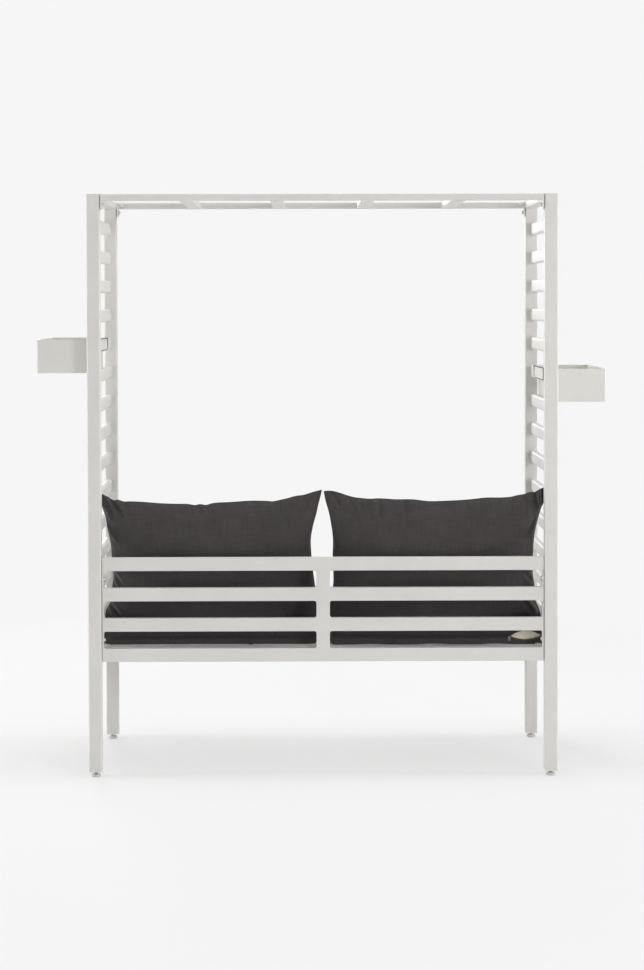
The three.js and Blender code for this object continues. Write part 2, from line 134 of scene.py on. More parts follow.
class BackCushionShape(bpy.types.PropertyGroup):
    thickness: FloatProperty(name="Thickness", description="Through its middle", default=0.15, unit="LENGTH")
    lean: FloatProperty(
        name="Lean", description="How far it leans back", default=math.radians(13), subtype="ANGLE")
    fullness: FloatProperty(
        name="Fullness", description="Lower is steeper next to the seams", default=0.56, min=0.2, max=1.0)
    slip: FloatProperty(
        name="Slip", description="How far the bottom has slid forwards", default=0.03, unit="LENGTH")
    sag: FloatProperty(name="Sag", description="How far the filling has sunk", default=0.2, min=0.0, max=0.5)
    creases: FloatProperty(
        name="Creases", description="How deep the folds of the cloth are", default=1.45, min=0.0, max=3.0)
    seam: FloatProperty(name="Seam", description="Radius of the seam roll", default=0.0014, unit="LENGTH")
    columns: IntProperty(name="Columns", description="Grid cells across", default=124, min=8)
    rows: IntProperty(name="Rows", description="Grid cells from bottom to top", default=64, min=8)


class Studio(bpy.types.PropertyGroup):
    background: FloatVectorProperty(
        name="Background", description="Colour behind the seat", default=(0.921, 0.921, 0.921),
        size=3, subtype="COLOR", min=0.0, max=1.0)
    camera_place: FloatVectorProperty(
        name="Camera", description="Where the camera stands", default=(0.0477244, 7.2104064, 1.4133836),
        size=3, subtype="XYZ", unit="LENGTH")
    camera_yaw: FloatProperty(
        name="Yaw", description="Camera turned about the vertical", default=-0.006646786, subtype="ANGLE")
    camera_pitch: FloatProperty(
        name="Pitch", description="Camera tipped up or down", default=-0.028021632, subtype="ANGLE")
    camera_roll: FloatProperty(
        name="Roll", description="Camera rolled about its view", default=0.002236904, subtype="ANGLE")
    lens: FloatProperty(name="Lens", description="Focal length in millimetres", default=86.137, min=10.0)
    shift_y: FloatProperty(name="Shift", description="Rise of the lens in sensor heights", default=-0.1208)
    floor_tone: FloatProperty(
        name="Floor tone", description="How pale the floor is", default=0.80, min=0.0, max=1.0)
    ambient: FloatProperty(name="Ambient", description="Light from all round", default=0.13, min=0.0)
    overhead: FloatProperty(name="Overhead", description="More light from above", default=0.6, min=0.0)
    sideways: FloatProperty(name="Sideways", description="More light from both sides", default=0.55, min=0.0)
    key: FloatProperty(
        name="Key lamp", description="Watts, from behind at the right", default=110.0, min=0.0)
    front: FloatProperty(name="Front lamp", description="Watts, from the front", default=115.0, min=0.0)
    left: FloatProperty(name="Left lamp", description="Watts, from the seat's left", default=160.0, min=0.0)
    right: FloatProperty(
        name="Right lamp", description="Watts, from the seat's right", default=128.0, min=0.0)
    top: FloatProperty(name="Top lamp", description="Watts, from overhead", default=150.0, min=0.0)


# Meshes worked out with numpy

def smooth_step(value, low, high):
    share = np.clip((value - low) / (high - low), 0.0, 1.0)
    return share * share * (3 - 2 * share)


def quarter_rise(distance, radius):
    """How far a quarter circle of the radius has risen at a distance from the end of the edge."""
    share = np.clip(1 - distance / radius, 0.0, 1.0)
    return radius * (1 - np.sqrt(1 - share * share))


def new_piece(name, points, faces, body, material, uvs=None):
    """A mesh object at the origin, riding a body. points is an array of places, faces one of corner
    numbers, and uvs one place in metres for each corner of each face."""
    mesh = bpy.data.meshes.new(name)
    mesh.from_pydata(np.asarray(points).tolist(), [], [list(face) for face in faces])
    if uvs is not None:
        layer = mesh.uv_layers.new(name="Cloth")
        layer.data.foreach_set("uv", uvs.astype(np.float32).ravel())
    mesh.polygons.foreach_set("use_smooth", np.full(len(faces), True))
    mesh.materials.append(material)
    mesh.update()
    piece = bpy.data.objects.new(name, mesh)
    bpy.context.scene.collection.objects.link(piece)
    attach(piece, body)
    return piece


def get_points(mesh):
    points = np.empty(len(mesh.vertices) * 3)
    mesh.vertices.foreach_get("co", points)
    return points.reshape(-1, 3)


def set_points(mesh, points):
    mesh.vertices.foreach_set("co", points.astype(np.float32).ravel())
    mesh.update()


def grid_faces(rows, columns, closed_rows=False, closed_columns=False):
    """Corner numbers of the quads of a grid, row by row. A closed direction runs back to its start."""
    row = np.arange(rows if closed_rows else rows - 1)
    column = np.arange(columns if closed_columns else columns - 1)
    r, c = np.meshgrid(row, column, indexing="ij")
    next_r = (r + 1) % rows
    next_c = (c + 1) % columns
    corners = [r * columns + c, r * columns + next_c, next_r * columns + next_c, next_r * columns + c]
    return np.stack(corners, axis=-1).reshape(-1, 4)


def ring_tubes(paths, normals, radius, sides=6):
    """Closed tubes carried along closed paths: at each path point a circle of the given radius is drawn in
    the plane of the path's outward direction and the ring's axis. paths is (rings, points, 3), and normals
    is (rings, 3), the axis of each ring."""
    ahead = np.roll(paths, -1, axis=1) - np.roll(paths, 1, axis=1)
    ahead /= np.linalg.norm(ahead, axis=-1, keepdims=True)
    axis = np.broadcast_to(normals[:, None, :], paths.shape)
    outward = np.cross(ahead, axis)
    angle = np.linspace(0, 2 * np.pi, sides, endpoint=False)
    circle = (outward[:, :, None, :] * np.cos(angle)[None, None, :, None]
              + axis[:, :, None, :] * np.sin(angle)[None, None, :, None])
    points = paths[:, :, None, :] + radius * circle
    rings, along = paths.shape[:2]
    one = grid_faces(along, sides, closed_rows=True, closed_columns=True)
    offset = np.arange(rings)[:, None, None] * along * sides
    return points.reshape(-1, 3), (one[None] + offset).reshape(-1, 4)[:, ::-1]


def rounded_outline(wide, high, corner, steps):
    """Points round a rectangle with rounded corners: each corner is a quarter circle in equal steps."""
    angle = np.linspace(0, np.pi / 2, steps + 1)
    quarters = []
    for number, (sign_x, sign_y) in enumerate([(1, 1), (-1, 1), (-1, -1), (1, -1)]):
        turned = angle + number * np.pi / 2
        x = sign_x * (wide / 2 - corner) + corner * np.cos(turned)
        y = sign_y * (high / 2 - corner) + corner * np.sin(turned)
        quarters.append(np.stack([x, y], axis=-1))
    return np.concatenate(quarters)


def joined(parts):
    """Points and faces of several meshes as one, with each mesh's corner numbers moved on."""
    points, faces, count = [], [], 0
    for some_points, some_faces in parts:
        points.append(some_points)
        faces += [[count + number for number in face] for face in some_faces]
        count += len(some_points)
    return np.concatenate(points), faces


# Shader nodes

NOISE_LOW = 0.3  # most of a noise's values lie between these two
NOISE_HIGH = 0.7
PAINT_ROUGHNESS = (0.42, 0.5)
# Tone, how far it wanders, scale of the grain, roughness, height of the relief, and how metallic it is
FABRICS = {
    # The dark hook edging is painted shade: it stands in for the shadow gap between a planter's hook and its
    # slat
    "Edging_Rubber": ((0.055, 0.052, 0.048), 0.2, 700.0, 0.7, 0.0001, 0.0),
    "Zip_Tape": ((0.030, 0.027, 0.028), 0.2, 900.0, 0.85, 0.0002, 0.0),
    "Zip_Teeth": ((0.012, 0.011, 0.011), 0.3, 700.0, 0.4, 0.0004, 0.0),
    "Lining": ((0.86, 0.81, 0.69), 0.12, 260.0, 0.9, 0.0004, 0.0),
    "Zip_Slider": ((0.17, 0.166, 0.16), 0.1, 400.0, 0.35, 0.0001, 0.6),
}


def add_node(tree, kind, inputs=None, **settings):
    """A shader node with its settings, and its inputs linked or set by name or number."""
    made = tree.nodes.new(kind)
    for key, value in settings.items():
        setattr(made, key, value)
    for key, value in (inputs or {}).items():
        socket = made.inputs[key]
        if isinstance(value, bpy.types.NodeSocket):
            tree.links.new(value, socket)
        else:
            socket.default_value = value
    return made


def new_material(name):
    material = bpy.data.materials.new(name)
    material.use_nodes = True
    tree = material.node_tree
    tree.nodes.clear()
    shader = add_node(tree, "ShaderNodeBsdfPrincipled")
    output = add_node(tree, "ShaderNodeOutputMaterial", {"Surface": shader.outputs["BSDF"]})
    output.is_active_output = True
    return material, tree, shader


def maths(tree, operation, first, second=0.0, clamp=False):
    made = add_node(tree, "ShaderNodeMath", {0: first, 1: second}, operation=operation, use_clamp=clamp)
    return made.outputs[0]


def mixed(tree, share, first, second):
    """A colour between two, by a share from 0 to 1."""
    made = add_node(tree, "ShaderNodeMix", data_type="RGBA")
    for name, value in (("Factor", share), ("A", first), ("B", second)):
        sockets = [s for s in made.inputs if s.name == name]
        socket = sockets[0] if name == "Factor" else [s for s in sockets if s.type == "RGBA"][0]
        if isinstance(value, bpy.types.NodeSocket):
            tree.links.new(value, socket)
        else:
            socket.default_value = value
    return [s for s in made.outputs if s.type == "RGBA"][0]


def noise(tree, where, scale, detail=2.0, roughness=0.5):
    made = add_node(tree, "ShaderNodeTexNoise",
                    {"Vector": where, "Scale": scale, "Detail": detail, "Roughness": roughness})
    return made.outputs["Fac"]


def ranged(tree, value, low, high, to_low, to_high):
    made = add_node(tree, "ShaderNodeMapRange", {"Value": value, "From Min": low, "From Max": high,
                                                 "To Min": to_low, "To Max": to_high})
    return made.outputs["Result"]


def spread(tree, value, low, high):
    """The middle of a noise's values, stretched so that it reaches from low to high."""
    return ranged(tree, value, NOISE_LOW, NOISE_HIGH, low, high)


def object_places(tree):
    return add_node(tree, "ShaderNodeTexCoord").outputs["Object"]


def bumped(tree, shader, height, depth, strength=1.0):
    bump = add_node(tree, "ShaderNodeBump", {"Height": height, "Distance": depth, "Strength": strength})
    tree.links.new(bump.outputs["Normal"], shader.inputs["Normal"])


def shade(colour, factor):
    return tuple(min(1.0, part * factor) for part in colour) + (1.0,)


def paint_tree(material_name, paint):
    """Powder coat: a mottled tone, a fine orange peel, and a sheen that varies slightly."""
    material, tree, shader = new_material(material_name)
    where = object_places(tree)
    patches = noise(tree, where, 1.0 / paint.mottle_size, detail=4.0, roughness=0.6)
    darker = shade(paint.colour, 1.0 - paint.mottle)
    lighter = shade(paint.colour, 1.0 + paint.mottle)
    colour = mixed(tree, spread(tree, patches, 0.0, 1.0), darker, lighter)
    tree.links.new(colour, shader.inputs["Base Color"])
    tree.links.new(spread(tree, patches, *PAINT_ROUGHNESS), shader.inputs["Roughness"])
    peel = noise(tree, where, 1.0 / paint.peel_size, detail=1.0)
    bumped(tree, shader, peel, paint.peel_depth)
    return material, tree, shader, where, colour


def fabric(name):
    """A plain close surface, made once: its tone and its height both follow a fine noise."""
    if name in bpy.data.materials:
        return bpy.data.materials[name]
    tone, wander, scale, roughness, relief, metallic = FABRICS[name]
    material, tree, shader = new_material(name)
    grain = noise(tree, object_places(tree), scale, detail=3.0)
    colour = mixed(tree, spread(tree, grain, 0.0, 1.0), shade(tone, 1 - wander), shade(tone, 1 + wander))
    tree.links.new(colour, shader.inputs["Base Color"])
    shader.inputs["Roughness"].default_value = roughness
    shader.inputs["Metallic"].default_value = metallic
    bumped(tree, shader, grain, relief)
    return material


# CAD nodes that stay, with rounded corners shaded smooth

FLAT_WEIGHT = 98  # how far broad faces win over narrow ones in a corner's normal
ZINC = (0.60, 0.60, 0.59)
ZINC_WANDER = 0.15
ZINC_CLOUDS = 220.0
ZINC_GRAIN = 900.0
ZINC_ROUGHNESS = (0.28, 0.45)
STUD_SHADES = (0.45, 0.75)
GLIDE = (0.66, 0.655, 0.635)
GLIDE_WANDER = 0.06
GLIDE_CLOUDS = 160.0
GLIDE_GRAIN = 1400.0
GLIDE_ROUGHNESS = (0.45, 0.6)
GRAIN_DEPTH = 0.00002
BOLT_HEAD_REACH = 0.0075
BOLT_HEAD_HEIGHT = 0.0055
PAD_TOP = 0.0085


def smoothing_group(angle):
    """Geometry nodes: coinciding corners are merged, and edges that turn less than the angle are smooth."""
    group = bpy.data.node_groups.new("Soft_Tube_Corners", "GeometryNodeTree")
    group.interface.new_socket("Geometry", in_out="INPUT", socket_type="NodeSocketGeometry")
    group.interface.new_socket("Geometry", in_out="OUTPUT", socket_type="NodeSocketGeometry")
    start = group.nodes.new("NodeGroupInput")
    end = group.nodes.new("NodeGroupOutput")
    merge = add_node(group, "GeometryNodeMergeByDistance",
                     {"Geometry": start.outputs[0], "Distance": MERGE_REACH})
    faces = add_node(group, "GeometryNodeSetShadeSmooth",
                     {"Geometry": merge.outputs["Geometry"], "Shade Smooth": True}, domain="FACE")
    turn = add_node(group, "GeometryNodeInputMeshEdgeAngle")
    gentle = add_node(group, "ShaderNodeMath", {0: turn.outputs["Unsigned Angle"], 1: angle},
                      operation="LESS_THAN")
    edges = add_node(group, "GeometryNodeSetShadeSmooth",
                     {"Geometry": faces.outputs["Geometry"], "Shade Smooth": gentle.outputs[0]},
                     domain="EDGE")
    group.links.new(edges.outputs["Geometry"], end.inputs[0])
    return group


def finish_node(name, material, group):
    node = frame["nodes"][name]
    node.data.materials.clear()
    node.data.materials.append(material)
    smooth = node.modifiers.new("Soft corners", "NODES")
    smooth.node_group = group
    weighted = node.modifiers.new("Flat faces", "WEIGHTED_NORMAL")
    weighted.keep_sharp = True
    weighted.weight = FLAT_WEIGHT


class ARBOUR_OT_painted_frame(bpy.types.Operator):
    """Pale powder coat on the frame and planters, zinc on the bolts, and plastic on the feet"""

    bl_idname = "arbour.painted_frame"
    bl_label = "Painted Frame"

    def execute(self, context):
        paint = context.scene.arbour_paint
        group = smoothing_group(paint.smooth_angle)
        looks = {"powder_coat": paint_tree("Powder_Coat", paint)[0],
                 "zinc_plate": zinc_material(),
                 "foot_plastic": glide_material()}
        panel_coat = panel_material(paint)
        for row in frame["record"]["subparts"]:
            look = panel_coat if row["node"] == "back_panel" else looks.get(row["material_slot"])
            if look:
                finish_node(row["node"], look, group)
        return {"FINISHED"}


def zinc_material():
    """Zinc plate: grey metal with slight clouding and a fine grain."""
    material, tree, shader = new_material("Zinc_Plate")
    where = object_places(tree)
    cloud = noise(tree, where, ZINC_CLOUDS, detail=3.0)
    colour = mixed(tree, cloud, shade(ZINC, 1 - ZINC_WANDER), shade(ZINC, 1 + ZINC_WANDER))
    tree.links.new(colour, shader.inputs["Base Color"])
    shader.inputs["Metallic"].default_value = 1.0
    tree.links.new(spread(tree, cloud, *ZINC_ROUGHNESS), shader.inputs["Roughness"])
    bumped(tree, shader, noise(tree, where, ZINC_GRAIN), GRAIN_DEPTH)
    return material


def panel_material(paint):
    """Powder coat, but zinc on the bolt heads: the places within a head's radius of a bolt's axis and
    between the plate's face and the top of the head."""
    material, tree, shader, where, colour = paint_tree("Panel_Coat", paint)
    parts = add_node(tree, "ShaderNodeSeparateXYZ", {"Vector": where})
    across = maths(tree, "ABSOLUTE", parts.outputs["X"])
    beyond = maths(tree, "GREATER_THAN", across, PLATE_FACE - BOLT_HEAD_HEIGHT)
    before = maths(tree, "LESS_THAN", across, PLATE_FACE - MERGE_REACH)
    depth = maths(tree, "ABSOLUTE", maths(tree, "SUBTRACT", parts.outputs["Y"], POST_Y))
    near_depth = maths(tree, "LESS_THAN", depth, BOLT_HEAD_REACH)
    near_height = 0.0
    for height in PANEL_BOLT_HEIGHTS:
        apart = maths(tree, "ABSOLUTE", maths(tree, "SUBTRACT", parts.outputs["Z"], height))
        near_height = maths(tree, "ADD", near_height, maths(tree, "LESS_THAN", apart, BOLT_HEAD_REACH))
    head = maths(tree, "MULTIPLY", maths(tree, "MULTIPLY", beyond, before),
                 maths(tree, "MULTIPLY", near_depth, near_height))
    tree.links.new(mixed(tree, head, colour, shade(ZINC, 1.0)), shader.inputs["Base Color"])
    tree.links.new(head, shader.inputs["Metallic"])
    return material


def glide_material():
    """Moulded plastic below, and the steel of the stud above the pad."""
    material, tree, shader = new_material("Foot_Plastic")
    where = object_places(tree)
    height = add_node(tree, "ShaderNodeSeparateXYZ", {"Vector": where}).outputs["Z"]
    steel = maths(tree, "GREATER_THAN", height, PAD_TOP)
    cloud = noise(tree, where, GLIDE_CLOUDS, detail=3.0)
    plastic = mixed(tree, cloud, shade(GLIDE, 1 - GLIDE_WANDER), shade(GLIDE, 1 + GLIDE_WANDER))
    metal = mixed(tree, cloud, *[shade(ZINC, factor) for factor in STUD_SHADES])
    tree.links.new(mixed(tree, steel, plastic, metal), shader.inputs["Base Color"])
    tree.links.new(steel, shader.inputs["Metallic"])
    tree.links.new(spread(tree, cloud, *GLIDE_ROUGHNESS), shader.inputs["Roughness"])
    bumped(tree, shader, noise(tree, where, GLIDE_GRAIN), GRAIN_DEPTH)
    return material


# Weld beads

SLAT_CORNER = 0.007
POST_CORNER = 0.004
TUBE_CORNER = 0.003
TUBE_THIN = 0.02
BEAD_RADIUS = 0.0015
BEAD_STEPS = 5


def beads_at(places, wide, high, corner):
    """Ring paths round tube ends: the tube's outline, drawn in the plane square to Y at each place."""
    outline = rounded_outline(wide, high, corner, BEAD_STEPS)
    flat = np.stack([outline[:, 0], np.zeros(len(outline)), outline[:, 1]], axis=-1)
    return np.asarray(places)[:, None, :] + flat[None]


class ARBOUR_OT_weld_beads(bpy.types.Operator):
    """Fine painted weld beads round the ends of the slats and side rails"""

    bl_idname = "arbour.weld_beads"
    bl_label = "Weld Beads"

    def execute(self, context):
        coat = bpy.data.materials["Powder_Coat"]
        groups = {"side_slat": (TUBE_THIN, RAIL_HEIGHT, SLAT_CORNER),
                  "seat_side_rail": (POST_SIZE, RAIL_HEIGHT, POST_CORNER),
                  "roof_side_rail": (POST_SIZE, TUBE_THIN, TUBE_CORNER),
                  "roof_slat": (RAIL_HEIGHT, TUBE_THIN, TUBE_CORNER)}
        for start, (wide, high, corner) in groups.items():
            places = []
            for name in sorted(frame["nodes"]):
                if not name.startswith(start):
                    continue
                low, high_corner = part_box(name)
                middle = (low + high_corner) / 2
                for y in (low.y, high_corner.y):
                    places.append((middle.x, y, middle.z))
            paths = beads_at(places, wide, high, corner)
            axes = np.tile([0.0, 1.0, 0.0], (len(places), 1))
            points, faces = ring_tubes(paths, axes, BEAD_RADIUS)
            piece = new_piece(f"{start}_beads", points, faces, "frame", coat)
        return {"FINISHED"}


# Small fittings

SCREW_RADIUS = 0.0062
SCREW_HIGH = 0.0024
SCREW_SOCKET = 0.0026
SCREW_SUNK = 0.0013
SCREW_INSET = 0.0095
SCREW_RINGS = 10
SCREW_STEPS = 24
HOOK_LONG = 0.27
HOOK_HIGH = 0.036
# The edging round a hook is a dark strip of painted shade, for the shadow gap against the slat
EDGING_RADIUS = 0.0017
EDGING_PROUD = 0.001
EDGING_TUCK = 0.0012
EDGING_CORNER = 0.003
EDGING_RISE = 0.006


def screw_head(middle, outward, radius, high):
    """A button head: a low dome whose height is the root of one minus the share from its middle squared,
    with a round socket sunk into it, carried round the outward direction (along Y)."""
    share = np.linspace(0.0, 1.0, SCREW_RINGS + 1)[1:]
    reach = radius * share
    sunk = np.where(reach < SCREW_SOCKET, SCREW_SUNK, 0.0)
    rise = high * np.sqrt(np.clip(1 - share ** 2, 0, 1)) - sunk
    turn = np.linspace(0, 2 * np.pi, SCREW_STEPS, endpoint=False)
    x = reach[:, None] * np.cos(turn)
    z = reach[:, None] * np.sin(turn)
    y = np.repeat(outward * rise[:, None], SCREW_STEPS, axis=1)
    dome = np.stack([x, y, z], axis=-1).reshape(-1, 3)
    centre = np.array([[0.0, outward * (high - SCREW_SUNK), 0.0]])
    base = dome[-SCREW_STEPS:] * np.array([1.0, 0.0, 1.0]) - np.array([0.0, outward * FIT_GAP, 0.0])
    points = np.concatenate([dome, centre, base]) + np.array(middle)
    quads = grid_faces(SCREW_RINGS, SCREW_STEPS, closed_columns=True)
    step = np.arange(SCREW_STEPS)
    after = (step + 1) % SCREW_STEPS
    top = len(dome)
    fan = np.stack([np.full(SCREW_STEPS, top), after, step], axis=-1)
    last = (SCREW_RINGS - 1) * SCREW_STEPS
    skirt = np.stack([last + step, last + after, top + 1 + after, top + 1 + step], axis=-1)
    faces = quads.tolist() + fan.tolist() + skirt.tolist()
    faces.append((top + 1 + step).tolist())
    if outward > 0:
        faces = [face[::-1] for face in faces]
    return points, faces


def hook_shadow_edging(side, material):
    """A thin strip round the edge of a planter's hook, standing proud of the hook's inner face at the top
    and the front end. Along the lower edge and the rear end it runs in the hook's own thickness. Its dark
    colour is painted shade, standing in for the shadow gap between the hook and the slat."""
    sign = SIDES[side]
    low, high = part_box(f"planter_{side}")
    inner = min(abs(low.x), abs(high.x))
    outline = rounded_outline(HOOK_LONG, HOOK_HIGH, EDGING_CORNER, BEAD_STEPS)
    proud = smooth_step(outline[:, 1], -HOOK_HIGH / 2, EDGING_RISE - HOOK_HIGH / 2)
    proud *= 1 - smooth_step(outline[:, 0], HOOK_LONG / 2 - EDGING_RISE, HOOK_LONG / 2)
    across = inner + EDGING_TUCK - (EDGING_TUCK + EDGING_PROUD) * proud
    y = (low.y + high.y) / 2 + outline[:, 0]
    z = high.z - HOOK_HIGH / 2 + outline[:, 1]
    path = np.stack([sign * across, y, z], axis=-1)
    points, faces = ring_tubes(path[None], np.array([[1.0, 0.0, 0.0]]), EDGING_RADIUS)
    piece = new_piece(f"hook_edging_{side}", points, faces, f"planter_{side}", material)


class ARBOUR_OT_small_fittings(bpy.types.Operator):
    """Screws at the ends of the roof rails, and dark edging on the planters' hooks that paints the shadow
    gap against the slats
    """

    bl_idname = "arbour.small_fittings"
    bl_label = "Small Fittings"

    def execute(self, context):
        zinc = bpy.data.materials["Zinc_Plate"]
        heads = []
        for end, toward in ENDS.items():
            low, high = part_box(f"roof_rail_{end}")
            y = low.y if toward > 0 else high.y
            middle_z = high.z - TUBE_THIN / 2
            for sign in SIDES.values():
                middle = (sign * (PLATE_FACE - SCREW_INSET), y, middle_z)
                heads.append(screw_head(middle, -toward, SCREW_RADIUS, SCREW_HIGH))
        points, faces = joined(heads)
        screws = new_piece("roof_rail_screws", points, faces, "frame", zinc)
        # Painted shade: a dark strip round each hook for the shadow gap against the slat
        for side in SIDES:
            hook_shadow_edging(side, fabric("Edging_Rubber"))
        return {"FINISHED"}


# Cushions

CLOTH_QUALITY = 6
CLOTH_MASS = 0.3
CLOTH_STIFFNESS = 20.0
CLOTH_BENDING = 0.08
# How much larger the cut is, the pressure, the frames, and the furthest that a point may move
FILLINGS = {"seat": (1.02, 5.0, 20, 0.010), "back": (1.03, 5.0, 24, 0.022)}
SEAM_SIDES = 8
SOFT_LEVELS = 1
SLUB_SCALE = 0.5
SLUB_RELIEF = 0.8
WEAVE_STRENGTH = 0.8
YARN_TONES = (0.24, 0.76)
WEAR_SCALE = 14.0
WEAR_SHARE = 0.12
CLOTH_SURFACE = {"Roughness": 0.9, "Specular IOR Level": 0.25, "Sheen Weight": 0.5, "Sheen Roughness": 0.35}


def crowded(count, crowding=0.9):
    """Grid shares from -1 to 1, closer near both ends: the sine of equal angles, scaled to reach 1."""
    angle = np.pi * crowding * (np.arange(count + 1) / count - 0.5)
    return np.sin(angle) / np.sin(np.pi * crowding / 2)


def sewn_shell(point, columns, rows, side_rows, cut):
    """A closed shell of two sheets over one grid of u and v from -1 to 1, joined down the sides.
    point(u, v, w) gives places, with w from 1 on the first sheet to -1 on the second, and cut(u, v, w) gives
    the cloth's own places in metres. Returns points, faces, uvs, each point's u, v and w, and the rings of
    border corners from the first sheet's to the second's."""
    us = crowded(columns)
    vs = crowded(rows)
    u, v = np.meshgrid(us, vs, indexing="xy")
    grid = np.arange((rows + 1) * (columns + 1)).reshape(rows + 1, columns + 1)
    border = np.concatenate([grid[0, :-1], grid[:-1, -1], grid[-1, :0:-1], grid[:0:-1, 0]])
    u, v = u.ravel(), v.ravel()
    quads = grid_faces(rows + 1, columns + 1)
    all_u, all_v, all_w = [u], [v], [np.ones(u.size)]
    rings = [border]
    count = u.size
    for step in range(1, side_rows):
        all_u.append(u[border])
        all_v.append(v[border])
        all_w.append(np.full(len(border), 1.0 - 2.0 * step / side_rows))
        rings.append(count + np.arange(len(border)))
        count += len(border)
    kept = np.ones(grid.shape, bool)
    lower = count + grid
    if not side_rows:
        kept[[0, -1], :] = False
        kept[:, [0, -1]] = False
        lower = grid.copy()
        lower[kept] = count + np.arange(kept.sum())
    kept = kept.ravel()
    all_u.append(u[kept])
    all_v.append(v[kept])
    all_w.append(-np.ones(kept.sum()))
    if side_rows:
        rings.append(lower.ravel()[border])
    faces = [quads, lower.ravel()[quads][:, ::-1]]
    uvs = [cut(u, v, np.ones(u.size))[quads], cut(u, v, -np.ones(u.size))[quads][:, ::-1]]
    all_u, all_v, all_w = np.concatenate(all_u), np.concatenate(all_v), np.concatenate(all_w)
    points = point(all_u, all_v, all_w)
    if side_rows:
        walls, wall_uvs = side_wall(points, rings)
        faces += walls
        uvs += wall_uvs
    return {"points": points, "faces": np.concatenate(faces), "uvs": np.concatenate(uvs), "rings": rings,
            "u": all_u, "v": all_v, "w": all_w}


def side_wall(points, rings):
    """Quads between neighbouring rings, with uvs that run along the border and up it."""
    edge = points[rings[0]]
    length = np.linalg.norm(np.roll(edge, -1, axis=0) - edge, axis=1)
    reach = np.concatenate([[0.0], np.cumsum(length)])
    height = np.linalg.norm(edge[0] - points[rings[-1]][0])
    faces, uvs = [], []
    for step, (upper, under) in enumerate(zip(rings, rings[1:])):
        faces.append(np.stack([under, np.roll(under, -1), np.roll(upper, -1), upper], axis=-1))
        high = height * (1.0 - step / (len(rings) - 1))
        low = height * (1.0 - (step + 1) / (len(rings) - 1))
        across = np.stack([reach[:-1], reach[1:], reach[1:], reach[:-1]], axis=-1)
        up = np.broadcast_to([low, low, high, high], across.shape)
        uvs.append(np.stack([across, up], axis=-1))
    return faces, uvs


def fullness(u, v, power=0.5):
    """How full a stuffed sheet stands: 1 in the middle, 0 on the seam, and steep near it."""
    return (np.clip(1 - u * u, 0, 1) * np.clip(1 - v * v, 0, 1)) ** power


def fill_with_pressure(piece, cut_share, pressure, frames, reach, held):
    """Places of the sewn cloth once it has filled: a cloth simulation with air pressure and no gravity,
    whose cut is a little larger than the shell, so that the sheets wrinkle. The held points stay, and no
    point moves further than reach."""
    scene = bpy.context.scene
    start = get_points(piece.data)
    middle = start.mean(axis=0)
    piece.shape_key_add(name="Sewn")
    cut = piece.shape_key_add(name="Cut")
    larger = middle + (start - middle) * cut_share
    cut.data.foreach_set("co", larger.astype(np.float32).ravel())
    cloth = piece.modifiers.new("Filling", "CLOTH")
    settings = cloth.settings
    settings.quality = CLOTH_QUALITY
    settings.mass = CLOTH_MASS
    settings.tension_stiffness = CLOTH_STIFFNESS
    settings.compression_stiffness = CLOTH_STIFFNESS
    settings.shear_stiffness = CLOTH_STIFFNESS / 2
    settings.bending_stiffness = CLOTH_BENDING
    settings.rest_shape_key = cut
    settings.use_pressure = True
    settings.uniform_pressure_force = pressure
    settings.effector_weights.gravity = 0.0
    cloth.collision_settings.use_collision = False
    group = piece.vertex_groups.new(name="Seam")
    group.add([int(number) for number in held], 1.0, "REPLACE")
    settings.vertex_group_mass = "Seam"
    for number in range(1, frames + 1):
        scene.frame_set(number)
    graph = bpy.context.evaluated_depsgraph_get()
    filled = get_points(piece.evaluated_get(graph).to_mesh())
    piece.evaluated_get(graph).to_mesh_clear()
    piece.modifiers.remove(cloth)
    piece.shape_key_clear()
    piece.vertex_groups.clear()
    scene.frame_set(1)
    move = filled - start
    far = np.linalg.norm(move, axis=1, keepdims=True)
    move *= np.minimum(1.0, reach / np.maximum(far, MERGE_REACH))
    return start + move


def filled_cushion(kind, side, shell, cloth):
    """The piece of a cushion, filled by pressure while its seams are held, and the places of its points."""
    body = f"{kind}_cushion_{side}"
    piece = new_piece(f"sewn_{kind}_{side}", shell["points"], shell["faces"], body, cloth, shell["uvs"])
    held = np.concatenate([shell["rings"][0], shell["rings"][-1]])
    set_points(piece.data, fill_with_pressure(piece, *FILLINGS[kind], held))
    return piece, get_points(piece.data)


def add_seam(name, path, axis, radius, body, cloth):
    """A thin seam roll sewn round a cushion, along the path of its border."""
    points, faces = ring_tubes(path[None], np.array([axis]), radius, SEAM_SIDES)
    uvs = points[faces][:, :, :2]
    piece = new_piece(name, points, faces, body, cloth, uvs)


def finish_cushion(piece, node):
    soft = piece.modifiers.new("Soft", "SUBSURF")
    soft.levels = SOFT_LEVELS
    soft.render_levels = SOFT_LEVELS
    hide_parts(node)


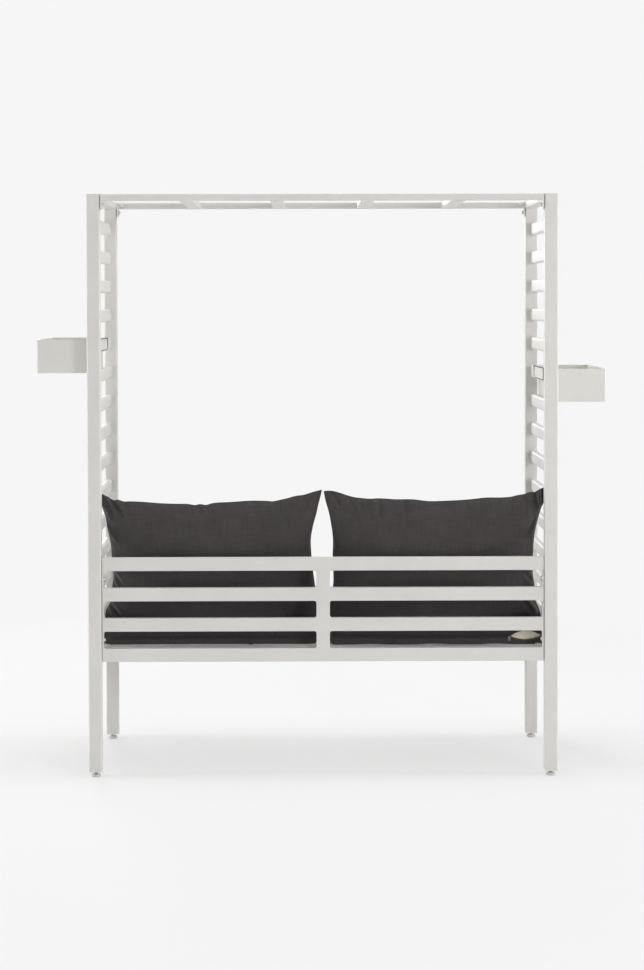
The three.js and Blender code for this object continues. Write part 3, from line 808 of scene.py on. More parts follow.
def cloth_material(cloth):
    """Woven cloth, made once: yarns across and along with slubs, each crossing raised, between two
    charcoal tones, and faintly worn in large clouds."""
    if "Cushion_Cloth" in bpy.data.materials:
        return bpy.data.materials["Cushion_Cloth"]
    material, tree, shader = new_material("Cushion_Cloth")
    where = add_node(tree, "ShaderNodeUVMap", uv_map="Cloth").outputs["UV"]
    slubs = []
    for stretch in ((1.0 / cloth.slub, 1.0 / cloth.yarn, 1.0), (1.0 / cloth.yarn, 1.0 / cloth.slub, 1.0)):
        turned = add_node(tree, "ShaderNodeMapping", {"Vector": where, "Scale": stretch})
        slubs.append(noise(tree, turned.outputs["Vector"], SLUB_SCALE, roughness=0.6))
    parts = add_node(tree, "ShaderNodeSeparateXYZ", {"Vector": where})
    waves = []
    for axis in ("X", "Y"):
        turn = maths(tree, "MULTIPLY", parts.outputs[axis], math.pi / cloth.yarn)
        waves.append(maths(tree, "SINE", turn))
    over = maths(tree, "MULTIPLY", waves[0], waves[1])
    across = ranged(tree, over, -1.0, 1.0, 0.0, 1.0)
    yarn = add_node(tree, "ShaderNodeMix", {"Factor": across}, data_type="FLOAT")
    floats = [s for s in yarn.inputs if s.type == "VALUE" and s.name in ("A", "B")]
    tree.links.new(slubs[0], floats[0])
    tree.links.new(slubs[1], floats[1])
    tone = ranged(tree, yarn.outputs[0], *YARN_TONES, 0.0, 1.0)
    cloud = noise(tree, object_places(tree), WEAR_SCALE, detail=3.0)
    worn = maths(tree, "ADD", tone, spread(tree, cloud, -WEAR_SHARE, WEAR_SHARE), clamp=True)
    colour = mixed(tree, worn, shade(cloth.dark, 1.0), shade(cloth.light, 1.0))
    tree.links.new(colour, shader.inputs["Base Color"])
    for name, value in CLOTH_SURFACE.items():
        shader.inputs[name].default_value = value
    slub_height = maths(tree, "MULTIPLY", yarn.outputs[0], SLUB_RELIEF)
    height = maths(tree, "ADD", maths(tree, "ABSOLUTE", over), slub_height)
    bumped(tree, shader, height, cloth.relief, WEAVE_STRENGTH)
    return material


# Seat cushions

SEAT_INNER = 0.012
SEAT_OUTER_FRONT = 0.655
SEAT_OUTER_REAR = 0.675
POST_SQUEEZE_START = -0.285
POST_SQUEEZE_END = -0.19
SEAT_BULGE = 0.004
SEAT_REAR_DRAW = 0.003
SEAT_CORNER_PULL = 0.003
SEAT_CORNER_POWER = 12
SEAT_TOP_DEPTH = 0.022  # how far below its highest place the top sheet reaches down
REAR_LIFT_START = 0.8
# How far the rear edge sinks between two slats of the deck, and how much it sways there
REAR_SAG = {"left": (0.0014, 0.0), "right": (0.0038, 0.0014)}
SWAY_LENGTH = 0.19
SAG_START = 0.206
SAG_END = 0.217
# Radius of the lower rear corners, at the outer and the inner end
LOWER_CORNERS = {"left": (0.027, 0.010), "right": (0.010, 0.021)}


def seat_shape(side, shape):
    """point(u, v, w) of a boxed cushion and cut(u, v, w) of its cloth. Its sides pull in between the
    corners by the draw times one minus the square of the share along them, and bulge at mid height. The
    outer side is squeezed next to the front post. The top rises to the crown by the fullness, and the
    lower rear corners are quarter circles. The lower rear edge sinks a little, swaying as a sine along it.
    w is 1 on the top sheet and -1 on the bottom one."""
    sign = SIDES[side]
    outer_corner, inner_corner = LOWER_CORNERS[side]
    sag, sway = REAR_SAG[side]
    middle_y = (SEAT_LOW.y + SEAT_HIGH.y) / 2
    half_y = (SEAT_HIGH.y - SEAT_LOW.y) / 2

    def plan(u, v, w):
        outward = (1 + sign * u) / 2
        freed = smooth_step(middle_y + half_y * v, POST_SQUEEZE_START, POST_SQUEEZE_END)
        outer_edge = SEAT_OUTER_FRONT + (SEAT_OUTER_REAR - SEAT_OUTER_FRONT) * freed
        inset = SEAT_BULGE * w * w + SEAT_CORNER_PULL * np.abs(u * v) ** SEAT_CORNER_POWER
        inside = SEAT_INNER + shape.draw * (1 - v * v) + inset
        outside = outer_edge - shape.draw * (1 - v * v) - inset
        draw = np.where(v > 0, SEAT_REAR_DRAW, shape.draw)
        reach_y = half_y - draw * (1 - u * u) - inset
        return inside, outside, inside + (outside - inside) * outward, middle_y + reach_y * v

    def point(u, v, w):
        inside, outside, across, y = plan(u, v, w)
        lift = quarter_rise(outside - across, outer_corner)
        lift += quarter_rise(across - inside, inner_corner)
        lift *= smooth_step(v, REAR_LIFT_START, 1.0)
        share = (1 + w) / 2
        rise = np.where(w >= 1, shape.crown * fullness(u, v), 0.0)
        sunk = (sag + sway * np.sin(2 * np.pi * across / SWAY_LENGTH)) * smooth_step(y, SAG_START, SAG_END)
        sunk *= 1 - share
        z = SEAT_LOW.z + lift + (shape.seam_height - lift) * share + rise - sunk
        return np.stack([sign * across, y, z], axis=-1)

    def cut(u, v, w):
        across, y = plan(u, v, w)[2:]
        return np.stack([sign * across * w, y], axis=-1)

    return point, cut


def carried(known, values, places):
    """The values of known places carried over to other places: each known value weighed by one over its
    distance to the fourth power."""
    apart = ((places[:, None, :] - known[None, :, :]) ** 2).sum(axis=-1)
    weight = 1.0 / (apart + MERGE_REACH * MERGE_REACH) ** 2
    return (weight * values[None, :]).sum(axis=1) / weight.sum(axis=1)


def wall_depth(wall, across, up):
    """Depth of a cushion's rear wall at places across and up."""
    return carried(wall[:, [0, 2]], wall[:, 1], np.stack([across, up], axis=-1))


def rested(points, seat, clearance):
    """Points lifted, where they are lower, to a clearance over the top of the seat cushion under them."""
    level = seat[:, 2].max()
    top = seat[seat[:, 2] > level - SEAT_TOP_DEPTH]
    low = points[:, 2] < level + clearance
    floor = carried(top[:, :2], top[:, 2], points[low][:, :2]) + clearance
    lifted = points.copy()
    lifted[low, 2] = np.maximum(points[low, 2], floor)
    return lifted


def wall_patch(name, wall, across, low, high, rows, proud, crown, body, material):
    """A patch lying on the rear wall between two curves, low and high, over the places across. It stands
    proud of the wall, and higher by the crown times one minus the square of the share from its middle."""
    share = np.linspace(0.0, 1.0, rows + 1)
    x = np.repeat(across[None], rows + 1, axis=0)
    z = low[None] + (high - low)[None] * share[:, None]
    lift = proud + crown * (1 - (2 * share - 1) ** 2)
    y = wall_depth(wall, x.ravel(), z.ravel()) + np.repeat(lift, len(across))
    points = np.stack([x.ravel(), y, z.ravel()], axis=-1)
    quads = grid_faces(rows + 1, len(across))
    if across[-1] > across[0]:
        quads = quads[:, ::-1]
    piece = new_piece(name, points, quads, body, material, points[quads][:, :, ::2])
    thick = piece.modifiers.new("Thickness", "SOLIDIFY")
    thick.thickness = proud
    thick.offset = -1.0


# Zip and loop

WALL_DEPTH = 0.02
PATCH_ROWS = 4
LENS_ROWS = 8
LENS_STEPS = 40
ZIP_HEIGHT = {"left": 0.4035, "right": 0.4075}
ZIP_SAG = {"left": 0.0, "right": 0.0045}
ZIP_HALF = 0.0011
TAPE_HALF = 0.0055
TAPE_PROUD = 0.0006
ZIP_INNER = 0.030
ZIP_OUTER = 0.640
ZIP_STEP = 0.008
SLIDER_X = 0.5625
LENS_START = 0.567
LENS_END = 0.657
LENS_DROP = 0.0112
LENS_RISE = 0.016
LENS_EDGE = 0.0016
SLIDER_WIDE = 0.009
SLIDER_HIGH = 0.015
SLIDER_THICK = 0.0036
TAB_PLACES = {"left": 0.218, "right": 0.2135}
TAB_WIDE = 0.013
TAB_LONG = 0.024
TAB_THICK = 0.0016


def zip_line(side, across):
    """Height of the zip: level, with a slow sag between its ends."""
    share = (across - ZIP_INNER) / (ZIP_OUTER - ZIP_INNER)
    return ZIP_HEIGHT[side] - ZIP_SAG[side] * np.sin(np.pi * np.clip(share, 0.0, 1.0))


def rounded_block(name, middle, size, body, material, power=0.35, rings=12, sides=24):
    """A block with rounded edges: a sphere's latitude and longitude with each cosine and sine raised to a
    power below one, which fills out the corners. Its poles are closed by one point each."""
    tall = np.linspace(-np.pi / 2, np.pi / 2, rings + 1)[1:-1]
    around = np.linspace(0, 2 * np.pi, sides, endpoint=False)

    def swell(value):
        return np.sign(value) * np.abs(value) ** power

    t, r = np.meshgrid(tall, around, indexing="ij")
    level = swell(np.cos(t))
    shape = np.stack([level * swell(np.cos(r)), level * swell(np.sin(r)), swell(np.sin(t))], axis=-1)
    shape = shape.reshape(-1, 3)
    points = np.concatenate([shape, [[0, 0, -1], [0, 0, 1]]]) * np.array(size) / 2 + np.array(middle)
    quads = grid_faces(rings - 1, sides, closed_columns=True)
    side = np.arange(sides)
    after = (side + 1) % sides
    last = (rings - 2) * sides
    bottom = np.stack([after, side, np.full(sides, len(shape))], axis=-1)
    top = np.stack([last + side, last + after, np.full(sides, len(shape) + 1)], axis=-1)
    faces = quads.tolist() + bottom.tolist() + top.tolist()
    return new_piece(name, points, faces, body, material)


def add_zip(side, points, body, cloth):
    """The zip along the rear wall: a tape and a line of teeth, and on the right cushion the slider and the
    open stretch, whose pale lining lies between two lips of cloth. A loop of tape stands out below."""
    sign = SIDES[side]
    wall = points[points[:, 1] > SEAT_HIGH.y - WALL_DEPTH]
    tape = fabric("Zip_Tape")
    closed_to = SLIDER_X if side == "right" else ZIP_OUTER
    across = np.linspace(ZIP_INNER, closed_to, int((closed_to - ZIP_INNER) / ZIP_STEP))
    line = zip_line(side, across)
    strips = (("zip_tape", TAPE_HALF, TAPE_PROUD, TAPE_PROUD, tape),
              ("zip_teeth", ZIP_HALF, 2 * TAPE_PROUD, ZIP_HALF, fabric("Zip_Teeth")))
    for name, half, proud, crown, material in strips:
        wall_patch(f"{name}_{side}", wall, sign * across, line - half, line + half, PATCH_ROWS, proud, crown,
                   body, material)
    if side == "right":
        across = np.linspace(LENS_START, LENS_END, LENS_STEPS)
        share = (across - LENS_START) / (LENS_END - LENS_START)
        arch = 1 - (2 * share - 1) ** 2
        low = zip_line(side, across) - LENS_DROP * arch
        high = zip_line(side, across) + LENS_RISE * arch
        wall_patch("zip_lining", wall, sign * across, low, high, LENS_ROWS, TAPE_PROUD, 0.0, body,
                   fabric("Lining"))
        lips = {"lower": (low - 2 * LENS_EDGE, low), "upper": (high, high + 2 * LENS_EDGE)}
        for name, (under, over) in lips.items():
            wall_patch(f"zip_lip_{name}", wall, sign * across, under, over, PATCH_ROWS, 2 * TAPE_PROUD,
                       LENS_EDGE, body, cloth)
        z = zip_line(side, np.array([SLIDER_X]))
        y = wall_depth(wall, np.array([sign * SLIDER_X]), z)
        middle = (sign * SLIDER_X, y[0] + SLIDER_THICK / 2, z[0] - SLIDER_HIGH / 2)
        slider = rounded_block("zip_slider", middle, (SLIDER_WIDE, SLIDER_THICK, SLIDER_HIGH), body,
                               fabric("Zip_Slider"))
    middle = (sign * TAB_PLACES[side], SEAT_HIGH.y + TAB_LONG / 2 - SEAT_BULGE, SEAT_LOW.z + TAB_THICK)
    size = (TAB_WIDE, TAB_LONG + SEAT_BULGE, TAB_THICK)
    tab = rounded_block(f"corner_loop_{side}", middle, size, body, tape)


class ARBOUR_OT_seat_cushions(bpy.types.Operator):
    """Two boxed seat cushions: crowned shells of cloth, filled by pressure, with seams, zip and loop"""

    bl_idname = "arbour.seat_cushions"
    bl_label = "Seat Cushions"

    def execute(self, context):
        scene = context.scene
        shape = scene.arbour_seat_cushion
        cloth = cloth_material(scene.arbour_cloth)
        for side in SIDES:
            point, cut = seat_shape(side, shape)
            shell = sewn_shell(point, shape.columns, shape.rows, shape.side_rows, cut)
            rings = shell["rings"]
            body = f"seat_cushion_{side}"
            piece, points = filled_cushion("seat", side, shell, cloth)
            deepest = sum(REAR_SAG[side]) * smooth_step(points[:, 1], SAG_START, SAG_END)
            points[:, 2] = np.maximum(points[:, 2], SEAT_LOW.z - deepest)
            set_points(piece.data, points)
            for name, ring in (("top", rings[0]), ("bottom", rings[-1])):
                path = points[ring] + np.array([0.0, 0.0, shape.seam if name == "bottom" else 0.0])
                add_seam(f"seam_seat_{name}_{side}", path, (0.0, 0.0, 1.0), shape.seam, body, cloth)
            add_zip(side, points, body, cloth)
            finish_cushion(piece, body)
        return {"FINISHED"}


# Back cushions

# Each outline is a list of places in metres, across from the middle of the seat and up
TOP_SEAM = {
    "left": [(0.004, 0.852), (0.030, 0.845), (0.055, 0.837), (0.082, 0.833), (0.104, 0.827), (0.134, 0.820),
             (0.149, 0.817), (0.166, 0.818), (0.216, 0.819), (0.277, 0.815), (0.334, 0.811), (0.352, 0.806),
             (0.367, 0.809), (0.384, 0.806), (0.402, 0.809), (0.441, 0.810), (0.488, 0.812), (0.537, 0.816),
             (0.580, 0.818), (0.599, 0.818), (0.613, 0.823), (0.629, 0.822), (0.644, 0.832), (0.660, 0.840),
             (0.672, 0.849)],
    "right": [(0.004, 0.848), (0.018, 0.849), (0.030, 0.848), (0.052, 0.842), (0.069, 0.836), (0.089, 0.830),
              (0.117, 0.826), (0.146, 0.824), (0.161, 0.825), (0.220, 0.822), (0.265, 0.822), (0.322, 0.816),
              (0.366, 0.817), (0.410, 0.819), (0.458, 0.823), (0.482, 0.826), (0.542, 0.827), (0.566, 0.829),
              (0.586, 0.834), (0.608, 0.838), (0.623, 0.844), (0.636, 0.843), (0.648, 0.850), (0.662, 0.857),
              (0.672, 0.861)],
}
OUTER_SEAM = {
    "left": [(0.665, 0.441), (0.662, 0.467), (0.659, 0.480), (0.651, 0.493), (0.644, 0.511), (0.637, 0.559),
             (0.632, 0.596), (0.636, 0.653), (0.638, 0.689), (0.643, 0.717), (0.648, 0.744), (0.652, 0.772),
             (0.661, 0.803), (0.672, 0.849)],
    "right": [(0.665, 0.441), (0.664, 0.463), (0.658, 0.481), (0.648, 0.503), (0.642, 0.552), (0.636, 0.588),
              (0.634, 0.645), (0.635, 0.677), (0.637, 0.712), (0.641, 0.737), (0.649, 0.773), (0.655, 0.795),
              (0.662, 0.811), (0.672, 0.861)],
}
INNER_SEAM = {
    "left": [(0.006, 0.441), (0.014, 0.480), (0.019, 0.505), (0.025, 0.556), (0.031, 0.602), (0.036, 0.655),
             (0.037, 0.707), (0.033, 0.732), (0.027, 0.757), (0.020, 0.782), (0.015, 0.807), (0.009, 0.830),
             (0.004, 0.852)],
    "right": [(0.006, 0.441), (0.012, 0.480), (0.020, 0.510), (0.032, 0.554), (0.033, 0.602), (0.031, 0.649),
              (0.032, 0.697), (0.030, 0.722), (0.025, 0.755), (0.020, 0.782), (0.010, 0.818),
              (0.004, 0.848)],
}
# Folds in the cloth: from and to, each across and up, then how wide the fold is and how high
FOLDS = {
    "left": [
        ((0.627, 0.819), (0.596, 0.782), 0.007, 0.0042),
        ((0.653, 0.806), (0.634, 0.770), 0.006, -0.0040),
        ((0.640, 0.826), (0.618, 0.796), 0.006, -0.0030),
        ((0.648, 0.744), (0.622, 0.706), 0.007, -0.0034),
        ((0.642, 0.716), (0.618, 0.690), 0.006, 0.0020),
        ((0.359, 0.808), (0.349, 0.784), 0.005, -0.0030),
        ((0.389, 0.806), (0.387, 0.778), 0.006, 0.0026),
        ((0.374, 0.806), (0.372, 0.780), 0.006, -0.0022),
        ((0.228, 0.810), (0.227, 0.772), 0.007, 0.0026),
        ((0.212, 0.812), (0.213, 0.778), 0.006, -0.0026),
        ((0.066, 0.832), (0.074, 0.808), 0.006, 0.0022),
        ((0.140, 0.818), (0.150, 0.796), 0.005, -0.0018),
        ((0.640, 0.612), (0.610, 0.572), 0.006, 0.0036),
        ((0.636, 0.590), (0.606, 0.556), 0.006, -0.0034),
        ((0.634, 0.572), (0.614, 0.546), 0.005, 0.0026),
        ((0.652, 0.512), (0.620, 0.474), 0.007, 0.0040),
        ((0.648, 0.494), (0.632, 0.466), 0.006, -0.0034),
        ((0.300, 0.790), (0.420, 0.772), 0.022, 0.0014),
        ((0.090, 0.560), (0.200, 0.520), 0.025, 0.0016),
        ((0.540, 0.700), (0.590, 0.790), 0.022, -0.0016),
    ],
    "right": [
        ((0.166, 0.823), (0.165, 0.778), 0.007, 0.0034),
        ((0.151, 0.823), (0.151, 0.786), 0.007, -0.0026),
        ((0.213, 0.819), (0.214, 0.783), 0.006, -0.0028),
        ((0.240, 0.819), (0.241, 0.780), 0.008, 0.0030),
        ((0.226, 0.819), (0.227, 0.790), 0.006, -0.0016),
        ((0.422, 0.812), (0.435, 0.780), 0.007, 0.0026),
        ((0.487, 0.824), (0.488, 0.806), 0.005, -0.0026),
        ((0.641, 0.853), (0.646, 0.806), 0.006, -0.0044),
        ((0.652, 0.846), (0.655, 0.812), 0.005, 0.0030),
        ((0.602, 0.820), (0.624, 0.790), 0.009, 0.0026),
        ((0.108, 0.826), (0.112, 0.796), 0.006, 0.0020),
        ((0.086, 0.826), (0.094, 0.800), 0.006, -0.0016),
        ((0.026, 0.838), (0.046, 0.806), 0.008, 0.0030),
        ((0.604, 0.604), (0.632, 0.580), 0.007, -0.0032),
        ((0.610, 0.588), (0.636, 0.562), 0.006, 0.0028),
        ((0.628, 0.516), (0.656, 0.478), 0.006, 0.0036),
        ((0.618, 0.506), (0.644, 0.470), 0.006, -0.0030),
        ((0.300, 0.780), (0.400, 0.795), 0.022, 0.0014),
        ((0.640, 0.760), (0.622, 0.720), 0.008, -0.0026),
        ((0.120, 0.540), (0.240, 0.510), 0.025, -0.0016),
    ],
}
BACK_SMALLER = 0.008  # how much thinner each half is before it swells
BOTTOM_DRAW = 0.009
PUCKER_LENGTH = 0.034
PUCKER_DEPTH = 0.0011
PUCKER_REACH = 0.030
PUCKER_DRIFT = 0.21
SEAM_SHARE = 0.06  # the folds die away over this share of the way to the seam
FOLD_SWELL = 2.3  # brings the top of the bell times the distance to the fold's height
BACK_LEVEL = (BACK_LOW.z + BACK_HIGH.z) / 2


def smooth_through(known, sought, value):
    """A smooth curve through places, as the sought numbers over the known ones: between two places the
    cubic that leaves each in the direction from the place before it to the place after it."""
    order = np.argsort(known)
    known = known[order]
    sought = sought[order]
    slope = np.gradient(sought, known)
    step = np.clip(np.searchsorted(known, value) - 1, 0, len(known) - 2)
    width = known[step + 1] - known[step]
    share = np.clip((value - known[step]) / width, 0.0, 1.0)
    bow = share * share * (3 - 2 * share)
    leave = share * (1 - share) ** 2 * slope[step] * width
    arrive = share * share * (share - 1) * slope[step + 1] * width
    return sought[step] * (1 - bow) + sought[step + 1] * bow + leave + arrive


def height_at(places, across):
    known, sought = np.array(places).T
    return smooth_through(known, sought, across)


def across_at(places, height):
    sought, known = np.array(places).T
    return smooth_through(known, sought, height)


def folds(across, up, lines):
    """Folds of cloth: square to each line the height is the distance over the width times a bell of it, so
    that the cloth rises on one side of the line and falls on the other. It dies away past the ends."""
    total = np.zeros(len(across))
    for (x0, z0), (x1, z1), width, height in lines:
        long = math.hypot(x1 - x0, z1 - z0)
        ahead = ((x1 - x0) / long, (z1 - z0) / long)
        along = (across - x0) * ahead[0] + (up - z0) * ahead[1]
        beside = ((across - x0) * ahead[1] - (up - z0) * ahead[0]) / width
        past = np.maximum(0.0, np.maximum(-along, along - long)) / width
        total += height * FOLD_SWELL * beside * np.exp(-beside * beside) * np.exp(-past * past)
    return total


def back_shape(side, shape):
    """point(u, v, w) of a knife-edged pillow and cut(u, v, w) of its cloth, with u from -1 to 1 across and
    v from the bottom seam to the top one. Both sides and the top follow their outlines, and the bottom
    seam bows up. The two sheets stand apart by the fullness, fuller where the filling has sunk to. The
    whole leans back, and has slipped forwards by the square of the share down from the top. w is 1 on the
    front sheet and -1 on the rear one."""
    sign = SIDES[side]
    top = TOP_SEAM[side]
    inner = INNER_SEAM[side]
    outer = OUTER_SEAM[side]
    plane_y = (BACK_LOW.y + BACK_HIGH.y) / 2

    def flat(u, v):
        share = (1 + v) / 2
        outward = (1 + sign * u) / 2
        low_z, high_in, high_out = inner[0][1], inner[-1][1], outer[-1][1]
        inside = across_at(inner, low_z + (high_in - low_z) * share)
        outside = across_at(outer, low_z + (high_out - low_z) * share)
        across = inside + (outside - inside) * outward
        top_across = inner[-1][0] + (outer[-1][0] - inner[-1][0]) * outward
        bottom_z = low_z + BOTTOM_DRAW * (1 - u * u)
        up = bottom_z + (height_at(top, top_across) - bottom_z) * share
        return across, up

    def point(u, v, w):
        across, up = flat(u, v)
        sunk = v + shape.sag * (1 - v * v)
        out = w * (shape.thickness / 2 - BACK_SMALLER) * fullness(u, sunk, shape.fullness)
        slipped = shape.slip * ((1 - v) / 2) ** 2
        lean_back = (up - BACK_LEVEL) * math.tan(shape.lean) - slipped
        y = plane_y + lean_back - out * math.cos(shape.lean)
        return np.stack([sign * across, y, up + out * math.sin(shape.lean)], axis=-1)

    def cut(u, v, w):
        across, up = flat(u, v)
        return np.stack([across * sign, up * w], axis=-1)

    return point, cut


def creased(points, u, v, w, side, strength):
    """Folds and seam puckers, pushed out from each sheet, and nothing on the seam itself. The front sheet
    has the same folds turned about, as the photograph shows the rear only."""
    sign = SIDES[side]
    across = sign * points[:, 0]
    turned = np.where(w > 0, BACK_LOW.x + BACK_HIGH.x - across, across)
    seam = np.minimum(1 - u * u, 1 - v * v)
    free = np.clip(seam / SEAM_SHARE, 0.0, 1.0)
    from_top = (1 - v) / 2 * (BACK_HIGH.z - BACK_LOW.z)
    from_side = (1 - np.abs(u)) / 2 * (BACK_HIGH.x - BACK_LOW.x)
    wave = np.sin(2 * np.pi * turned / PUCKER_LENGTH + 2 * np.sin(2 * np.pi * turned / PUCKER_DRIFT))
    wave *= np.exp(-from_top / PUCKER_REACH)
    height = points[:, 2]
    rung = np.sin(2 * np.pi * height / PUCKER_LENGTH + 2 * np.sin(2 * np.pi * height / PUCKER_DRIFT))
    rung *= np.exp(-from_side / PUCKER_REACH)
    push = strength * (folds(turned, height, FOLDS[side]) + PUCKER_DEPTH * (wave + rung))
    moved = points.copy()
    moved[:, 1] -= w * push * free
    return moved


class ARBOUR_OT_back_cushions(bpy.types.Operator):
    """Two knife-edged back cushions: shells of cloth, filled by pressure, that lean on the back panel"""

    bl_idname = "arbour.back_cushions"
    bl_label = "Back Cushions"

    def execute(self, context):
        scene = context.scene
        shape = scene.arbour_back_cushion
        cloth = cloth_material(scene.arbour_cloth)
        for side in SIDES:
            point, cut = back_shape(side, shape)
            shell = sewn_shell(point, shape.columns, shape.rows, 0, cut)
            body = f"back_cushion_{side}"
            piece, points = filled_cushion("back", side, shell, cloth)
            points = creased(points, shell["u"], shell["v"], shell["w"], side, shape.creases)
            points[:, 1] = np.minimum(points[:, 1], PANEL_LOW.y - FIT_GAP)
            seat = get_points(bpy.data.objects[f"sewn_seat_{side}"].data)
            points = rested(points, seat, shape.seam)
            set_points(piece.data, points)
            axis = (0.0, math.cos(shape.lean), -math.sin(shape.lean))
            add_seam(f"seam_back_{side}", points[shell["rings"][0]], axis, shape.seam, body, cloth)
            finish_cushion(piece, body)
        return {"FINISHED"}


# Stage

FLOOR_RADIUS = 30.0
NEAR_RADIUS = 1.9
FAR_RADIUS = 3.4
RIM_STEPS = 96
FLOOR_SHADOW = 0.4  # how much of the shadow the floor shows near the seat
ABOVE_LOW = 0.55
ABOVE_HIGH = 0.85
SENSOR_WIDTH = 36.0
SIGHT = 200.0
# Each lamp's place, the height over the floor that it looks at, its width and its height
LAMPS = {
    "key": ((-3.4, 6.2, 2.0), 0.9, 1.4, 1.4),
    "front": ((2.2, -5.6, 2.6), 0.9, 1.6, 1.6),
    "left": ((6.0, 0.4, 1.5), 0.9, 2.0, 2.4),
    "right": ((-6.0, 0.4, 1.5), 0.9, 2.0, 2.4),
    "top": ((0.0, 0.0, 7.0), 0.0, 3.0, 2.0),
}


def lamp(name, place, aim_height, width, height, power):
    light = bpy.data.lights.new(name, "AREA")
    light.shape = "RECTANGLE"
    light.size = width
    light.size_y = height
    light.energy = power
    made = bpy.data.objects.new(name, light)
    made.location = place
    ahead = Vector((0.0, 0.0, aim_height)) - Vector(place)
    made.rotation_euler = ahead.to_track_quat("-Z", "Y").to_euler()
    made.visible_camera = False
    bpy.context.scene.collection.objects.link(made)


def seen_directly(tree):
    """1 for what the camera sees, straight or by a gloss or glass, and 0 for light on rough surfaces."""
    path = add_node(tree, "ShaderNodeLightPath")
    seen = path.outputs["Is Camera Ray"]
    for kind in ("Glossy", "Transmission"):
        seen = maths(tree, "MAXIMUM", seen, path.outputs[f"Is {kind} Ray"])
    return seen


def floor_material(background, tone):
    """Pale floor: lit near the seat, so that the shadow shows, and fading outwards by distance into the
    background's own colour."""
    material, tree, shader = new_material("Pale_Floor")
    shader.inputs["Base Color"].default_value = (tone, tone, tone, 1.0)
    shader.inputs["Roughness"].default_value = 1.0
    shader.inputs["Specular IOR Level"].default_value = 0.0
    where = object_places(tree)
    distance = add_node(tree, "ShaderNodeVectorMath", {0: where}, operation="LENGTH").outputs["Value"]
    far = ranged(tree, distance, NEAR_RADIUS, FAR_RADIUS, 1.0 - FLOOR_SHADOW, 1.0)
    glow = add_node(tree, "ShaderNodeEmission", {"Color": shade(background, 1.0), "Strength": 1.0})
    share = maths(tree, "MULTIPLY", far, seen_directly(tree))
    blend = add_node(tree, "ShaderNodeMixShader",
                     {0: share, 1: shader.outputs["BSDF"], 2: glow.outputs["Emission"]})
    output = [n for n in tree.nodes if n.type == "OUTPUT_MATERIAL"][0]
    tree.links.new(blend.outputs["Shader"], output.inputs["Surface"])
    return material


def studio_light(tree, studio):
    """Strength of the light from each direction: the same from all round, more from steeply above with a
    soft start, and more from both sides by the square of the direction's share across."""
    direction = add_node(tree, "ShaderNodeTexCoord").outputs["Generated"]
    parts = add_node(tree, "ShaderNodeSeparateXYZ", {"Vector": direction})
    above = ranged(tree, parts.outputs["Z"], ABOVE_LOW, ABOVE_HIGH, 0.0, studio.overhead)
    beside = maths(tree, "MULTIPLY", parts.outputs["X"], parts.outputs["X"])
    beside = maths(tree, "MULTIPLY", beside, studio.sideways)
    return maths(tree, "ADD", maths(tree, "ADD", above, beside), studio.ambient)


class ARBOUR_OT_studio(bpy.types.Operator):
    """Pale floor, plain soft lamps, and a camera behind the seat at the photograph's angle"""

    bl_idname = "arbour.studio"
    bl_label = "Studio"

    def execute(self, context):
        scene = context.scene
        studio = scene.arbour_studio
        angle = np.linspace(0, 2 * np.pi, RIM_STEPS, endpoint=False)
        rim = FLOOR_RADIUS * np.stack([np.cos(angle), np.sin(angle), np.zeros(RIM_STEPS)], axis=-1)
        mesh = bpy.data.meshes.new("floor")
        mesh.from_pydata(rim.tolist(), [], [list(range(len(rim)))])
        mesh.materials.append(floor_material(studio.background, studio.floor_tone))
        floor = bpy.data.objects.new("floor", mesh)
        scene.collection.objects.link(floor)

        world = bpy.data.worlds.new("Studio")
        world.use_nodes = True
        scene.world = world
        tree = world.node_tree
        tree.nodes.clear()
        seen = add_node(tree, "ShaderNodeBackground",
                        {"Color": shade(studio.background, 1.0), "Strength": 1.0})
        lit = add_node(tree, "ShaderNodeBackground",
                       {"Color": (1.0, 1.0, 1.0, 1.0), "Strength": studio_light(tree, studio)})
        blend = add_node(tree, "ShaderNodeMixShader",
                         {0: seen_directly(tree), 1: lit.outputs["Background"],
                          2: seen.outputs["Background"]})
        add_node(tree, "ShaderNodeOutputWorld", {"Surface": blend.outputs["Shader"]})

        for name, (place, aim_height, width, height) in LAMPS.items():
            lamp(name, place, aim_height, width, height, getattr(studio, name))

        camera = bpy.data.cameras.new("camera")
        camera.lens = studio.lens
        camera.sensor_width = SENSOR_WIDTH
        camera.sensor_fit = "AUTO"
        camera.shift_y = studio.shift_y
        camera.clip_end = SIGHT
        made = bpy.data.objects.new("camera", camera)
        made.location = studio.camera_place
        made.rotation_euler = camera_turn(studio).to_euler()
        scene.collection.objects.link(made)
        scene.camera = made
        scene.view_settings.view_transform = "Standard"
        return {"FINISHED"}


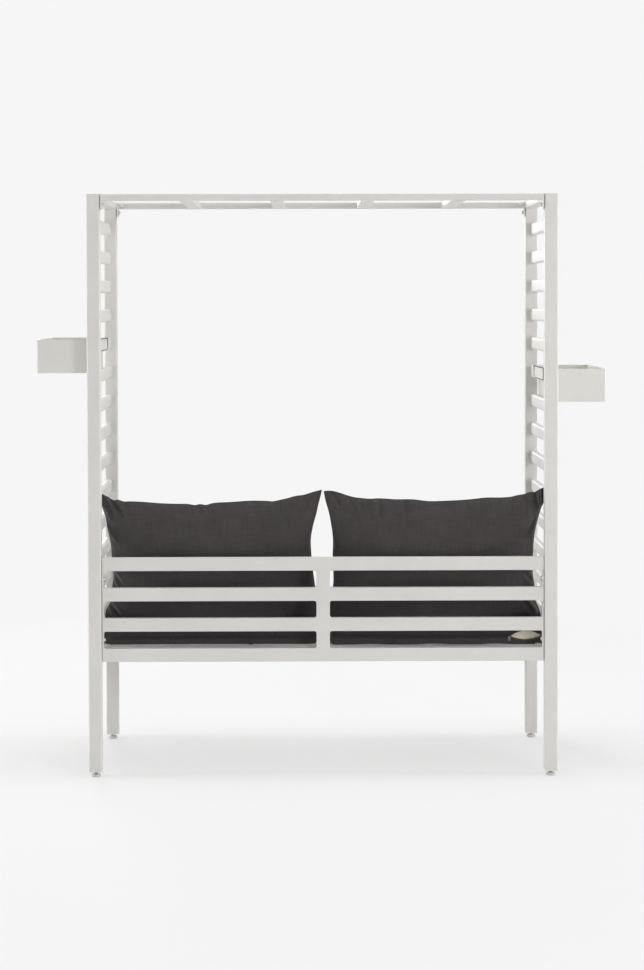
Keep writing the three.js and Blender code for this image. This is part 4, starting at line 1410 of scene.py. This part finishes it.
def camera_turn(studio):
    """Looking along -Y, then turned about the vertical, tipped about its right and rolled about its view."""
    ahead = Vector((0.0, -1.0, 0.0))
    right = Vector((-1.0, 0.0, 0.0))
    up = Vector((0.0, 0.0, 1.0))
    yaw = Matrix.Rotation(studio.camera_yaw, 3, up)
    ahead, right = yaw @ ahead, yaw @ right
    pitch = Matrix.Rotation(studio.camera_pitch, 3, right)
    ahead, up = pitch @ ahead, pitch @ up
    roll = Matrix.Rotation(studio.camera_roll, 3, ahead)
    right, up = roll @ right, roll @ up
    return Matrix((right, up, -ahead)).transposed()


class ARBOUR_PT_panel(bpy.types.Panel):
    """Lists the steps that finish the seat"""

    bl_idname = "ARBOUR_PT_panel"
    bl_label = "Arbour Seat"
    bl_space_type = "VIEW_3D"
    bl_region_type = "UI"
    bl_category = "Arbour Seat"

    def draw(self, context):
        for step in STEPS:
            self.layout.operator(step.bl_idname)
        for name in SETTINGS:
            settings = getattr(context.scene, name)
            box = self.layout.box()
            for key in settings.__annotations__:
                box.prop(settings, key)


STEPS = (
    ARBOUR_OT_painted_frame,
    ARBOUR_OT_weld_beads,
    ARBOUR_OT_small_fittings,
    ARBOUR_OT_seat_cushions,
    ARBOUR_OT_back_cushions,
    ARBOUR_OT_studio,
)
SETTINGS = {
    "arbour_paint": PaintFinish,
    "arbour_cloth": ClothFinish,
    "arbour_seat_cushion": SeatCushionShape,
    "arbour_back_cushion": BackCushionShape,
    "arbour_studio": Studio,
}


def register():
    for group in SETTINGS.values():
        bpy.utils.register_class(group)
    for name, group in SETTINGS.items():
        setattr(bpy.types.Scene, name, PointerProperty(type=group))
    for step in STEPS:
        bpy.utils.register_class(step)
    bpy.utils.register_class(ARBOUR_PT_panel)


def unregister():
    bpy.utils.unregister_class(ARBOUR_PT_panel)
    for step in reversed(STEPS):
        bpy.utils.unregister_class(step)
    for name in SETTINGS:
        delattr(bpy.types.Scene, name)
    for group in SETTINGS.values():
        bpy.utils.unregister_class(group)


def main():
    register()
    bpy.ops.arbour.painted_frame()
    bpy.ops.arbour.weld_beads()
    bpy.ops.arbour.small_fittings()
    bpy.ops.arbour.seat_cushions()
    bpy.ops.arbour.back_cushions()
    bpy.ops.arbour.studio()


if __name__ == "__main__":
    main()
